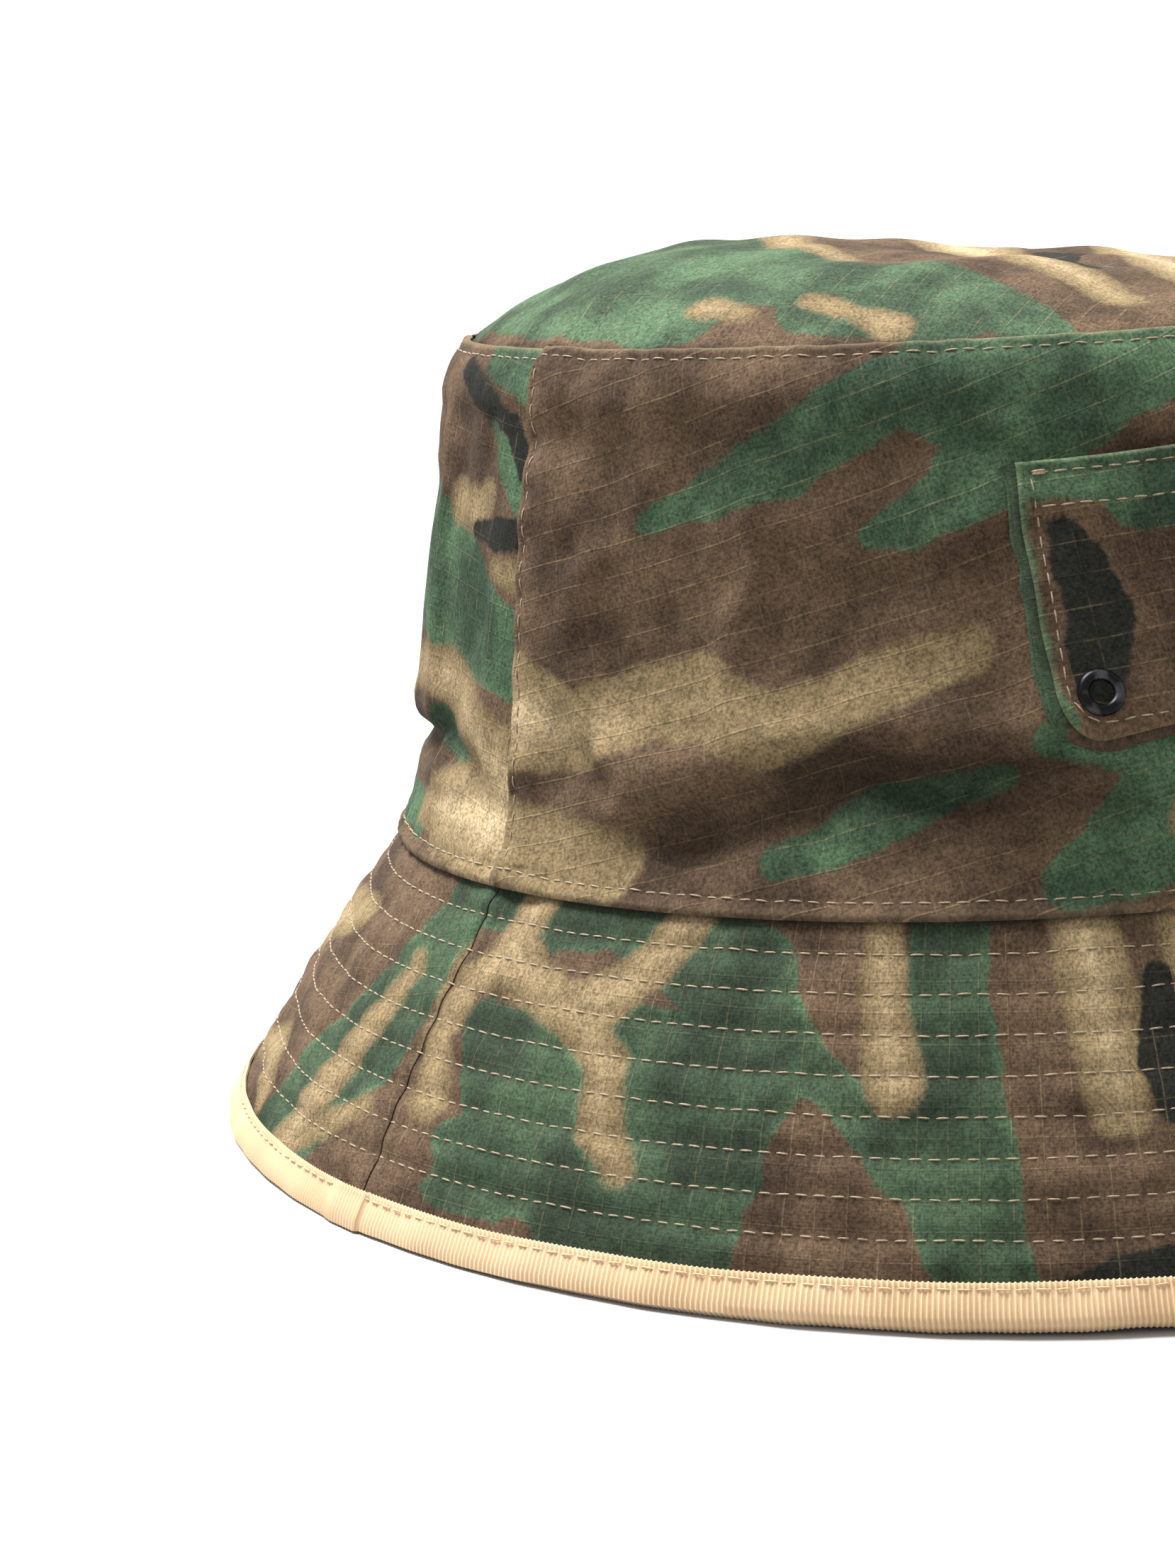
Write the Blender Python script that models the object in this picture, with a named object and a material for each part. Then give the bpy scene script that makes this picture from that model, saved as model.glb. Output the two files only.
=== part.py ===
# Bucket hat in camouflage ripstop: an oval crown of two side panels and a domed tip, a downturned brim
# sewn in rows, a grosgrain-bound edge, and a bellows patch pocket with two drain eyelets on the front.
# Metres, +Z up. The wearer looks towards -Y and the wearer's left is +X. The bound edge stands on z = 0.

import math

import bmesh
import bpy
from mathutils import Matrix, Vector

# Crown, measured on the outside of the cloth
crown_half_width = 0.0935       # half the width across at the base seam
crown_half_length = 0.1015      # half the length front to back at the base seam
crown_height = 0.082            # base seam to tip seam
crown_taper = 0.0153            # how far the side leans in above its flare, by the tip seam
crown_swell = 1.35              # exponent of the side's curve: 1 is a straight cone, higher is fuller
base_flare = 0.0036             # how far the foot of the side turns out to meet the brim
base_flare_height = 0.010
crown_setback = 0.0124          # how far back the tip seam sits over the base seam
tip_front_rise = 0.0068         # how much the tip seam climbs at the front, and drops at the back
base_front_rise = 0.0046        # the same for the base seam
dome_rise = 0.0150              # top of the tip above its seam
dome_fullness = 3.1             # exponent of the dome's curve: higher is flatter on top
tip_seam_step = 0.0008          # the side's folded edge stands this much above the tip's seam

# Brim, measured on its outer cloth
brim_overhang = 0.0304          # how far the edge stands out from the base seam
brim_drop = 0.0512              # base seam down to the edge

# Cloth and trims
cloth = 0.0006                  # ripstop shell
interlining = 0.0008            # stiffener between the two brim cloths
lining_cloth = 0.0005
sweatband_thickness = 0.0009
sweatband_height = 0.032
sweatband_lift = 0.001          # lower edge above the base seam
tape = 0.0006                   # grosgrain binding
binding_width = 0.0070          # how far the binding laps up the brim
binding_corner = 0.0008         # height of the rounded lower corners of the binding
seam_allowance = 0.008          # cloth turned in beyond each seam
gap = 0.0003                    # clearance between neighbouring layers

# Stitching
thread_radius = 0.00025
brim_rows = 8
first_row = 0.0050              # base seam to the first row on the brim
binding_stitch_inset = 0.0012
base_stitch_height = 0.0024     # rows of topstitching, from the seam they follow
tip_stitch_depth = 0.0018
side_stitch_offset = 0.0014
side_stitch_clearance = 0.0042  # the side rows stop this far short of both crown seams

# Pocket
pocket_width = 0.087
pocket_height = 0.039
pocket_centre_height = 0.0466   # above the base seam
pocket_tilt = math.radians(3)   # its +X end is the higher one
pocket_cloth = 0.0009
gusset_stand = 0.0018           # thickness of the bellows when pressed flat
gusset_reach_out = 0.0016       # the bellows' fold shows this much beyond the pocket's edge
gusset_reach_in = 0.0014
pocket_stitch_inset = 0.0018
hem_rows = (0.0018, 0.0068)     # rows of hem stitching below the mouth
tack_length = 0.0019
tack_width = 0.0006
tack_height = 0.0005

# Eyelets: tubular metal eyelets with a washer behind the cloth
eyelet_clearance = 0.0002        # between the flange and the edge stitching at both sides of the corner
eyelet_bore = 0.00215            # radius
eyelet_barrel = 0.0025           # radius
eyelet_flange = 0.00375          # radius
eyelet_crown = 0.0009            # height of the rolled rim
washer_thickness = 0.0004
washer_bore_clearance = 0.0003

# Facets
ring_steps = 60
wall_heights = (1.0, 0.7, 0.38)  # rows of the side above its flare, as shares of its height
dome_steps = (0.0, 0.38, 0.62, 0.81, 0.93, 1.0)
pocket_columns = 14
pocket_rows = 4
eyelet_steps = 20

base_z = brim_drop
tip_z = base_z + crown_height
full_ring = [2 * math.pi * k / ring_steps for k in range(ring_steps)]


def lerp(a, b, t):
    return a + (b - a) * t


# Profiles are lists of (r, z) from the top down. r is how far a point stands outside the base seam's
# oval, so r = 0 is the base seam and r = -crown_half_width is the middle of the hat.

def wall_r(height):
    low = min(height / base_flare_height, 1.0)
    return -base_flare * (1 - (1 - low) ** 2) - crown_taper * (height / crown_height) ** crown_swell


def offset_line(line, distance):
    # Moves a profile outwards by distance, with mitred corners.
    normals = []
    for (r0, z0), (r1, z1) in zip(line, line[1:]):
        length = math.hypot(r1 - r0, z1 - z0)
        normals.append(((z0 - z1) / length, (r1 - r0) / length))
    moved = []
    for i, (r, z) in enumerate(line):
        n0 = normals[max(i - 1, 0)]
        n1 = normals[min(i, len(normals) - 1)]
        k = distance / (1 + n0[0] * n1[0] + n0[1] * n1[1])
        moved.append((r + k * (n0[0] + n1[0]), z + k * (n0[1] + n1[1])))
    return moved


def r_at(line, z):
    # The r of a falling profile at height z; past its ends the end stretches carry on.
    for (r0, z0), (r1, z1) in zip(line, line[1:]):
        if z >= z1 or (r1, z1) == line[-1]:
            return lerp(r0, r1, (z0 - z) / (z0 - z1))


def cut(line, top, bottom):
    # The stretch of a falling profile between two heights.
    inside = [p for p in line if bottom + 1e-6 < p[1] < top - 1e-6]
    return [(r_at(line, top), top)] + inside + [(r_at(line, bottom), bottom)]


wall_line = [(wall_r(crown_height * k), base_z + crown_height * k) for k in wall_heights]
wall_line += [(wall_r(base_flare_height * k), base_z + base_flare_height * k) for k in (1.0, 0.45, 0.0)]
seam_r = wall_line[0][0]


def wall_layer(depth):
    return offset_line(wall_line, -depth)


def shell_loop(outer, inner):
    # The closed cross-section of a layer, from its two faces.
    return outer + inner[::-1]


# Places in space

def oval(r):
    # Half width and half length of the hat's plan at r. Inside the tip seam both shrink to the middle.
    if r >= seam_r:
        return crown_half_width + r, crown_half_length + r
    half_width = crown_half_width + r
    return half_width, half_width * (crown_half_length + seam_r) / (crown_half_width + seam_r)


def place(r, z, angle):
    # A profile point at a plan angle, with the crown's backward lean and the seams' rise to the front.
    half_width, half_length = oval(r)
    x = half_width * math.cos(angle)
    y = half_length * math.sin(angle)
    lean = min(max((z - base_z) / crown_height, 0.0), 1.0)
    lift = lerp(base_front_rise * min(z / base_z, 1.0), tip_front_rise, lean)
    return Vector((x, y + crown_setback * lean, z - lift * y / crown_half_length))


# Objects

def clear_scene():
    for ob in list(bpy.data.objects):
        bpy.data.objects.remove(ob, do_unlink=True)


def material(name, colour, roughness, metallic=0.0):
    mat = bpy.data.materials.new(name)
    mat.use_nodes = True
    shader = mat.node_tree.nodes["Principled BSDF"]
    shader.inputs["Base Color"].default_value = (*colour, 1.0)
    shader.inputs["Roughness"].default_value = roughness
    shader.inputs["Metallic"].default_value = metallic
    return mat


def finish(name, bm, mat, parent):
    bmesh.ops.recalc_face_normals(bm, faces=bm.faces)
    mesh = bpy.data.meshes.new(name)
    bm.to_mesh(mesh)
    bm.free()
    mesh.materials.append(mat)
    mesh.shade_smooth()
    mesh.set_sharp_from_angle(angle=math.radians(35))
    ob = bpy.data.objects.new(name, mesh)
    bpy.context.collection.objects.link(ob)
    ob.parent = parent
    return ob


def skin_loops(bm, loops, closed):
    # Joins a row of matching vertex loops; an open row gets a face over each end.
    pairs = list(zip(loops, loops[1:]))
    if closed:
        pairs.append((loops[-1], loops[0]))
    for a, b in pairs:
        for i in range(len(a)):
            j = (i + 1) % len(a)
            bm.faces.new((a[i], a[j], b[j], b[i]))
    if not closed:
        bm.faces.new(loops[0])
        bm.faces.new(loops[-1])


def ring(name, section, mat, parent):
    # A section swept all the way round the hat.
    bm = bmesh.new()
    loops = [[bm.verts.new(place(r, z, angle)) for r, z in section] for angle in full_ring]
    skin_loops(bm, loops, closed=True)
    return finish(name, bm, mat, parent)


def half_ring(name, section, start, mat, parent):
    # A section swept over the half of the hat that begins at a side seam, clear of both seams.
    seam_half_angle = 0.5 * gap / (crown_half_width + seam_r)
    angles = [start + math.pi * k / (ring_steps // 2) for k in range(ring_steps // 2 + 1)]
    angles[0] += seam_half_angle
    angles[-1] -= seam_half_angle
    bm = bmesh.new()
    loops = [[bm.verts.new(place(r, z, angle)) for r, z in section] for angle in angles]
    skin_loops(bm, loops, closed=False)
    return finish(name, bm, mat, parent)


def front_and_back(name, section, mat, parent):
    half_ring(name.format("front"), section, math.pi, mat, parent)
    half_ring(name.format("back"), section, 0.0, mat, parent)


def domed_ring(name, outer, inner, mat, parent):
    # A shell that closes over the middle of the hat. The first point of each face is its peak.
    bm = bmesh.new()
    peaks = [bm.verts.new(place(-crown_half_width, line[0][1], 0.0)) for line in (outer, inner)]
    section = outer[1:] + inner[:0:-1]
    loops = [[bm.verts.new(place(r, z, angle)) for r, z in section] for angle in full_ring]
    for k, a in enumerate(loops):
        b = loops[(k + 1) % ring_steps]
        for i in range(len(section) - 1):
            bm.faces.new((a[i], a[i + 1], b[i + 1], b[i]))
        bm.faces.new((peaks[0], a[0], b[0]))
        bm.faces.new((peaks[1], a[-1], b[-1]))
    return finish(name, bm, mat, parent)


def thread_section(line, z):
    # Three-sided section of a thread that lies on a profile, just clear of it.
    centre = gap + 0.5 * thread_radius
    (r0, z0), (r1, z1) = [(r_at(line, z + d), z + d) for d in (0.001, -0.001)]
    length = math.hypot(r1 - r0, z1 - z0)
    along = ((r1 - r0) / length, (z1 - z0) / length)
    out = (-along[1], along[0])
    middle = (r_at(line, z) + centre * out[0], z + centre * out[1])
    points = []
    for turn in (90, 210, 330):
        a = thread_radius * math.cos(math.radians(turn))
        b = thread_radius * math.sin(math.radians(turn))
        points.append((middle[0] + a * along[0] + b * out[0], middle[1] + a * along[1] + b * out[1]))
    return points


def thread_run(name, points, mat, parent):
    # A thread along a list of points.
    curve = bpy.data.curves.new(name, "CURVE")
    curve.dimensions = "3D"
    curve.bevel_depth = thread_radius
    curve.bevel_resolution = 0
    curve.use_fill_caps = True
    spline = curve.splines.new("POLY")
    spline.points.add(len(points) - 1)
    for knot, point in zip(spline.points, points):
        knot.co = (*point, 1.0)
    curve.materials.append(mat)
    ob = bpy.data.objects.new(name, curve)
    bpy.context.collection.objects.link(ob)
    ob.parent = parent
    return ob


# The crown

def dome_line():
    # From the peak out to the tip seam, then down inside the side by the seam allowance.
    skirt = wall_layer(cloth + gap)
    edge_z = tip_z - tip_seam_step
    edge_r = r_at(skirt, edge_z)
    line = []
    for share in dome_steps:
        r = (crown_half_width + edge_r) * share - crown_half_width
        line.append((r, edge_z + dome_rise * (1 - share ** dome_fullness)))
    line.append((r_at(skirt, edge_z - seam_allowance), edge_z - seam_allowance))
    return line


def build_crown(parent, shell, lining, thread):
    front_and_back("crown_{}_panel", shell_loop(wall_line, wall_layer(cloth)), shell, parent)

    dome = dome_line()
    domed_ring("crown_tip", dome, offset_line(dome, -cloth), shell, parent)

    lining_outer = offset_line(dome, -(cloth + gap))[:-1]
    lining_inner = offset_line(dome, -(cloth + gap + lining_cloth))[:-1]
    domed_ring("lining_tip", lining_outer, lining_inner, lining, parent)
    top = lining_inner[-1][1] - gap
    bottom = base_z + sweatband_lift
    faces = [cut(wall_layer(depth), top, bottom) for depth in (lining_depth, lining_depth + lining_cloth)]
    front_and_back("lining_{}_panel", shell_loop(*faces), lining, parent)

    tip_stitch_z = tip_z - tip_stitch_depth
    base_stitch_z = base_z + base_stitch_height
    ring("tip_seam_topstitch", thread_section(wall_line, tip_stitch_z), thread, parent)
    ring("base_seam_topstitch", thread_section(wall_line, base_stitch_z), thread, parent)
    outside = offset_line(wall_line, gap + thread_radius)
    low, high = base_z + side_stitch_clearance, tip_z - side_stitch_clearance
    heights = [high] + [z for _, z in wall_line if low + 0.001 < z < high - 0.001] + [low]
    for side, seam, turn in (("left", 0.0, -1), ("right", math.pi, 1)):
        angle = seam + turn * side_stitch_offset / crown_half_width
        points = [place(r_at(outside, z), z, angle) for z in heights]
        thread_run(f"side_seam_topstitch_{side}", points, thread, parent)


# The sweatband inside the base of the crown

def build_sweatband(parent, mat):
    depth = lining_depth + lining_cloth + gap
    low = base_z + sweatband_lift
    faces = [cut(wall_layer(d), low + sweatband_height, low) for d in (depth, depth + sweatband_thickness)]
    ring("sweatband", shell_loop(*faces), mat, parent)


# The brim

brim_layers = (("brim_top_{}", cloth), ("brim_interlining_{}", interlining), ("brim_under_{}", cloth))
brim_stack = sum(thickness for _, thickness in brim_layers) + gap * (len(brim_layers) - 1)
lining_depth = cloth + gap + brim_stack + gap
brim_end_z = tape + gap


def brim_line(depth):
    # A face of the brim: up inside the crown's side by the seam allowance, and down to the bound edge.
    skirt = wall_layer(cloth + gap)
    corner = (r_at(skirt, base_z), base_z - gap)
    line = cut(skirt, base_z + seam_allowance, base_z)[:-1] + [corner, (brim_overhang, 0.0)]
    line = offset_line(line, -depth)
    return line[:-1] + [(r_at(line[-2:], brim_end_z), brim_end_z)]


def edge_frame():
    # The brim's outer face in section: its foot on the ground, its direction up the brim, its outward normal.
    (r0, z0), (r1, z1) = brim_line(0.0)[-2:]
    length = math.hypot(r1 - r0, z1 - z0)
    up = ((r0 - r1) / length, (z0 - z1) / length)
    return (brim_overhang, 0.0), up, (up[1], -up[0]), length


def binding_section():
    foot, up, out, _ = edge_frame()

    def on_face(stand, z):
        # Where the line parallel to the brim, stand outside its outer face, is at height z.
        r, z0 = foot[0] + stand * out[0], foot[1] + stand * out[1]
        return r + (z - z0) * up[0] / up[1], z

    outer = gap + tape
    inner = -brim_stack - gap - tape
    top = binding_width * up[1]
    flat_outer = on_face(outer, 0.0)[0] - 1.5 * binding_corner
    flat_inner = on_face(inner, 0.0)[0] + binding_corner
    return [
        on_face(gap, top), on_face(outer, top), on_face(outer, binding_corner), (flat_outer, 0.0),
        (flat_inner, 0.0), on_face(inner, binding_corner), on_face(inner, top),
        on_face(inner + tape, top), on_face(inner + tape, tape), on_face(gap, tape),
    ]


def build_brim(parent, shell, interlining_mat, grosgrain, thread, binding_thread):
    depth = 0.0
    for name, thickness in brim_layers:
        mat = interlining_mat if "interlining" in name else shell
        front_and_back(name, shell_loop(brim_line(depth), brim_line(depth + thickness)), mat, parent)
        depth += thickness + gap
    ring("brim_edge_binding", binding_section(), grosgrain, parent)

    face = brim_line(0.0)[-2:]
    _, up, out, length = edge_frame()
    length += brim_end_z / up[1]
    row_pitch = (length - binding_width - first_row) / brim_rows
    for row in range(brim_rows):
        z = face[0][1] - (first_row + row * row_pitch) * up[1]
        ring(f"brim_stitch_row_{row + 1}", thread_section(face, z), thread, parent)
    tape_face = offset_line(face, gap + tape)
    z = (binding_width - binding_stitch_inset) * up[1]
    ring("binding_topstitch", thread_section(tape_face, z), binding_thread, parent)


# The pocket. u runs across it towards +X, v up it from its middle, and stand out from the crown's side.

def on_wall(u, v, stand):
    across = u * math.cos(pocket_tilt) - v * math.sin(pocket_tilt)
    height = u * math.sin(pocket_tilt) + v * math.cos(pocket_tilt) + pocket_centre_height
    angle = -math.pi / 2 + across / (crown_half_width + wall_r(pocket_centre_height))
    z = base_z + height
    return place(r_at(offset_line(wall_line, stand), z), z, angle)


def pocket_plate(name, half_width, half_height, low, high, mat, parent):
    bm = bmesh.new()
    us = [lerp(-half_width, half_width, i / pocket_columns) for i in range(pocket_columns + 1)]
    vs = [lerp(-half_height, half_height, j / pocket_rows) for j in range(pocket_rows + 1)]
    loops = []
    for u in us:
        front = [bm.verts.new(on_wall(u, v, high)) for v in vs]
        back = [bm.verts.new(on_wall(u, v, low)) for v in reversed(vs)]
        loops.append((front, back))
    for (f0, b0), (f1, b1) in zip(loops, loops[1:]):
        a, b = f0 + b0, f1 + b1
        for i in range(len(a)):
            j = (i + 1) % len(a)
            bm.faces.new((a[i], a[j], b[j], b[i]))
    for front, back in (loops[0], loops[-1]):
        for j in range(pocket_rows):
            bm.faces.new((front[j], front[j + 1], back[-2 - j], back[-1 - j]))
    return finish(name, bm, mat, parent)


def build_gusset(half_width, half_height, mat, parent):
    # The bellows, pressed flat: one strip round three sides, doubled over with its fold outwards.
    low, high = gap, gap + gusset_stand
    section = [
        (-gusset_reach_out, low), (-gusset_reach_out, high), (gusset_reach_in, high),
        (gusset_reach_in, high - cloth), (cloth - gusset_reach_out, high - cloth),
        (cloth - gusset_reach_out, low + cloth), (gusset_reach_in, low + cloth), (gusset_reach_in, low),
    ]
    stations = []
    for k in range(pocket_rows):
        stations.append((-half_width, lerp(half_height, -half_height, k / pocket_rows), 1, 0))
    for k in range(pocket_columns + 1):
        end = {0: 1, pocket_columns: -1}.get(k, 0)
        stations.append((lerp(-half_width, half_width, k / pocket_columns), -half_height, end, 1))
    for k in range(1, pocket_rows + 1):
        stations.append((half_width, lerp(-half_height, half_height, k / pocket_rows), -1, 0))
    bm = bmesh.new()
    loops = []
    for u, v, in_u, in_v in stations:
        loops.append([bm.verts.new(on_wall(u + e * in_u, v + e * in_v, stand)) for e, stand in section])
    skin_loops(bm, loops, closed=False)
    return finish("pocket_gusset", bm, mat, parent)


def eyelet_matrix(u, v, stand):
    # A frame at a point of the pocket with its Z square to the cloth around it.
    d = eyelet_flange
    across = (on_wall(u + d, v, stand) - on_wall(u - d, v, stand)).normalized()
    out = across.cross(on_wall(u, v + d, stand) - on_wall(u, v - d, stand)).normalized()
    turn = Matrix((across, out.cross(across), out)).transposed().to_4x4()
    return Matrix.Translation(on_wall(u, v, stand)) @ turn


def turned(name, section, matrix, mat, parent):
    # A ring turned from a closed section of (radius, height).
    bm = bmesh.new()
    loops = []
    for k in range(eyelet_steps):
        angle = 2 * math.pi * k / eyelet_steps
        points = [Vector((r * math.cos(angle), r * math.sin(angle), h)) for r, h in section]
        loops.append([bm.verts.new(matrix @ p) for p in points])
    skin_loops(bm, loops, closed=True)
    return finish(name, bm, mat, parent)


def punch(target, matrix, radius, depth, parent):
    # A round hole through a piece.
    bm = bmesh.new()
    bmesh.ops.create_cone(bm, cap_ends=True, segments=eyelet_steps, radius1=radius, radius2=radius,
                          depth=depth, matrix=matrix)
    mesh = bpy.data.meshes.new(target.name + "_punch")
    bm.to_mesh(mesh)
    bm.free()
    cutter = bpy.data.objects.new(mesh.name, mesh)
    bpy.context.collection.objects.link(cutter)
    cutter.parent = parent
    cutter.hide_render = True
    cutter.display_type = "WIRE"
    hole = target.modifiers.new("eyelet hole", "BOOLEAN")
    hole.operation = "DIFFERENCE"
    hole.solver = "EXACT"
    hole.object = cutter


def build_eyelet(side, u, v, face, outer_face, metal, parent):
    matrix = eyelet_matrix(u, v, outer_face)
    hole = eyelet_barrel + gap
    punch(face, matrix, hole, 4 * pocket_cloth, parent)
    back = -pocket_cloth - gap
    rim = gap + eyelet_crown
    section = [
        (eyelet_bore, lerp(gap, rim, 0.7)), (lerp(eyelet_bore, eyelet_flange, 0.3), rim),
        (lerp(eyelet_bore, eyelet_flange, 0.7), lerp(gap, rim, 0.9)), (eyelet_flange, lerp(gap, rim, 0.4)),
        (eyelet_flange, gap), (eyelet_barrel, gap), (eyelet_barrel, back - washer_thickness),
        (eyelet_bore, back - washer_thickness),
    ]
    turned(f"pocket_eyelet_{side}", section, matrix, metal, parent)
    washer_bore = eyelet_barrel + washer_bore_clearance
    section = [
        (washer_bore, back), (eyelet_flange, back),
        (eyelet_flange, back - washer_thickness), (washer_bore, back - washer_thickness),
    ]
    turned(f"pocket_eyelet_washer_{side}", section, matrix, metal, parent)


def build_tack(side, u, v, outer_face, mat, parent):
    # A dense bar of thread that ties the pocket's mouth down.
    bm = bmesh.new()
    bmesh.ops.create_cube(bm, size=1.0)
    bmesh.ops.scale(bm, vec=(tack_length, tack_width, tack_height), verts=bm.verts)
    matrix = eyelet_matrix(u, v, outer_face + gap + 0.5 * tack_height)
    bmesh.ops.transform(bm, matrix=matrix, verts=bm.verts)
    return finish(f"pocket_bar_tack_{side}", bm, mat, parent)


def build_pocket(parent, shell, thread, metal):
    half_width, half_height = pocket_width / 2, pocket_height / 2
    build_gusset(half_width, half_height, shell, parent)
    inner_face = gap + gusset_stand + gap
    outer_face = inner_face + pocket_cloth
    face = pocket_plate("pocket_face", half_width, half_height, inner_face, outer_face, shell, parent)

    thread_stand = outer_face + gap + thread_radius
    edge_u, edge_v = half_width - pocket_stitch_inset, pocket_stitch_inset - half_height
    top_v = half_height - pocket_stitch_inset
    route = [(-edge_u, lerp(top_v, edge_v, k / pocket_rows)) for k in range(pocket_rows)]
    route += [(lerp(-edge_u, edge_u, k / pocket_columns), edge_v) for k in range(pocket_columns)]
    route += [(edge_u, lerp(edge_v, top_v, k / pocket_rows)) for k in range(pocket_rows + 1)]
    thread_run("pocket_edge_topstitch", [on_wall(u, v, thread_stand) for u, v in route], thread, parent)

    tack_u = edge_u - 2 * thread_radius - gap - tack_length / 2
    tack_v = half_height - hem_rows[0]
    row_ends = (tack_u - tack_length / 2 - thread_radius - gap, edge_u - 2 * thread_radius - gap)
    for row, depth, end in zip(("upper", "lower"), hem_rows, row_ends):
        points = []
        for k in range(pocket_columns + 1):
            u = lerp(-end, end, k / pocket_columns)
            points.append(on_wall(u, half_height - depth, thread_stand))
        thread_run(f"pocket_hem_topstitch_{row}", points, thread, parent)

    for side, turn in (("left", 1), ("right", -1)):
        build_tack(side, turn * tack_u, tack_v, outer_face, thread, parent)
        inset = thread_radius + eyelet_clearance + eyelet_flange
        build_eyelet(side, turn * (edge_u - inset), edge_v + inset, face, outer_face, metal, parent)


def main():
    clear_scene()
    hat = bpy.data.objects.new("bucket_hat", None)
    bpy.context.collection.objects.link(hat)
    shell = material("camouflage ripstop", (0.12, 0.09, 0.06), 0.85)
    lining = material("lining twill", (0.06, 0.08, 0.05), 0.85)
    sweatband = material("sweatband twill", (0.10, 0.08, 0.05), 0.8)
    stiffener = material("interlining", (0.60, 0.58, 0.54), 0.9)
    grosgrain = material("grosgrain binding", (0.80, 0.55, 0.33), 0.8)
    thread = material("tan thread", (0.50, 0.42, 0.30), 0.7)
    binding_thread = material("binding thread", (0.62, 0.40, 0.24), 0.7)
    metal = material("blackened brass", (0.03, 0.03, 0.035), 0.35, 1.0)
    build_crown(hat, shell, lining, thread)
    build_sweatband(hat, sweatband)
    build_brim(hat, shell, stiffener, grosgrain, thread, binding_thread)
    build_pocket(hat, shell, thread, metal)


main()
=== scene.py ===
import math

import bpy
import numpy as np
from mathutils import Matrix, Vector


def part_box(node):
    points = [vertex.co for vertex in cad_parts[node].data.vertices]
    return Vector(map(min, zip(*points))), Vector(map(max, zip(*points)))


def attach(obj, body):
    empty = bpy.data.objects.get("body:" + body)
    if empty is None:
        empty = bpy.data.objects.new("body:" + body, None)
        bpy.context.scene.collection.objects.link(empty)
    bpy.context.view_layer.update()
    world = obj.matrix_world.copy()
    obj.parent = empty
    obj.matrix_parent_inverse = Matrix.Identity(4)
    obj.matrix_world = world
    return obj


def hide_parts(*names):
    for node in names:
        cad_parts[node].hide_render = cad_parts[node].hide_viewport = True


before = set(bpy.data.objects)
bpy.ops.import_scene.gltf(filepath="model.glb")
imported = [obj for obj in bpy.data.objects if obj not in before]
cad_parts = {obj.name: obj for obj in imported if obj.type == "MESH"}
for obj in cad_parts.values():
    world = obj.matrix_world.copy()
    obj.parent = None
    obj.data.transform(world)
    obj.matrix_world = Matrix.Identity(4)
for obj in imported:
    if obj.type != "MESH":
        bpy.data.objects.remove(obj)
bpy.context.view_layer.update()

# Metres, +Z up. The wearer looks towards -Y, the wearer's left is +X, and the bound edge stands on z = 0.

# The camera and the light

view = {
    "azimuth": -37.56,      # degrees round the hat; 0 looks along +Y
    "distance": 0.7673,     # level distance from the hat's axis
    "height": 0.2187,
    "down": 11.94,          # degrees
    "left": 4.73,           # degrees that the camera is turned away from the axis
    "roll": -1.71,
    "lens": 105.2,          # mm, on the 36 mm side
}
studio = {
    "worldStrength": 1.0,
    "keyStrength": 10.9,
    "keyFrom": (0.33, 0.30, 1.0),     # overhead, a little to the camera's left and behind
    "keyAngle": 28.0,                 # degrees across, so that its shadows are soft
    "floorColour": "#9A9A99",         # bright enough under the key to come out white
}


def cameraAxes():
    azimuth, turn, down, roll = [math.radians(view[k]) for k in ("azimuth", "left", "down", "roll")]
    ahead = Vector((-math.sin(azimuth), math.cos(azimuth), 0.0))
    side = Vector((math.cos(azimuth), math.sin(azimuth), 0.0))
    up = Vector((0.0, 0.0, 1.0))
    eye = up * view["height"] - ahead * view["distance"]
    aim = ahead * math.cos(turn) - side * math.sin(turn)
    side = side * math.cos(turn) + ahead * math.sin(turn)
    look = aim * math.cos(down) - up * math.sin(down)
    top = up * math.cos(down) + aim * math.sin(down)
    right = side * math.cos(roll) + top * math.sin(roll)
    top = top * math.cos(roll) - side * math.sin(roll)
    return eye, right, top, look


def linear(hexColour):
    # sRGB hex to linear RGBA
    parts = [int(hexColour[k:k + 2], 16) / 255 for k in (1, 3, 5)]
    return [p / 12.92 if p <= 0.04045 else ((p + 0.055) / 1.055) ** 2.4 for p in parts] + [1.0]


def addNode(material, kind, values=None, links=None):
    # A key that is a property of the node sets it; any other key is an input's name or number.
    made = material.node_tree.nodes.new(kind)
    for key, value in (values or {}).items():
        if isinstance(key, str) and key not in made.inputs:
            setattr(made, key, value)
        else:
            made.inputs[key].default_value = value
    for key, source in (links or {}).items():
        material.node_tree.links.new(source, made.inputs[key])
    return made


def newMaterial(name, roughness, colour="#808080", **sockets):
    material = bpy.data.materials.new(name)
    material.use_nodes = True
    shader = material.node_tree.nodes["Principled BSDF"]
    shader.inputs["Base Color"].default_value = linear(colour)
    shader.inputs["Roughness"].default_value = roughness
    for socket, value in sockets.items():
        shader.inputs[socket.replace("_", " ")].default_value = value
    return material, shader


def joined(material, kind, output, settings, parts):
    # A part that is a number or a hex colour sets its socket; a part that is an output is linked to it.
    values, links = dict(settings), {}
    for key, part in parts.items():
        if isinstance(part, bpy.types.NodeSocket):
            links[key] = part
        else:
            values[key] = linear(part) if isinstance(part, str) else part
    return addNode(material, kind, values, links).outputs[output]


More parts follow.
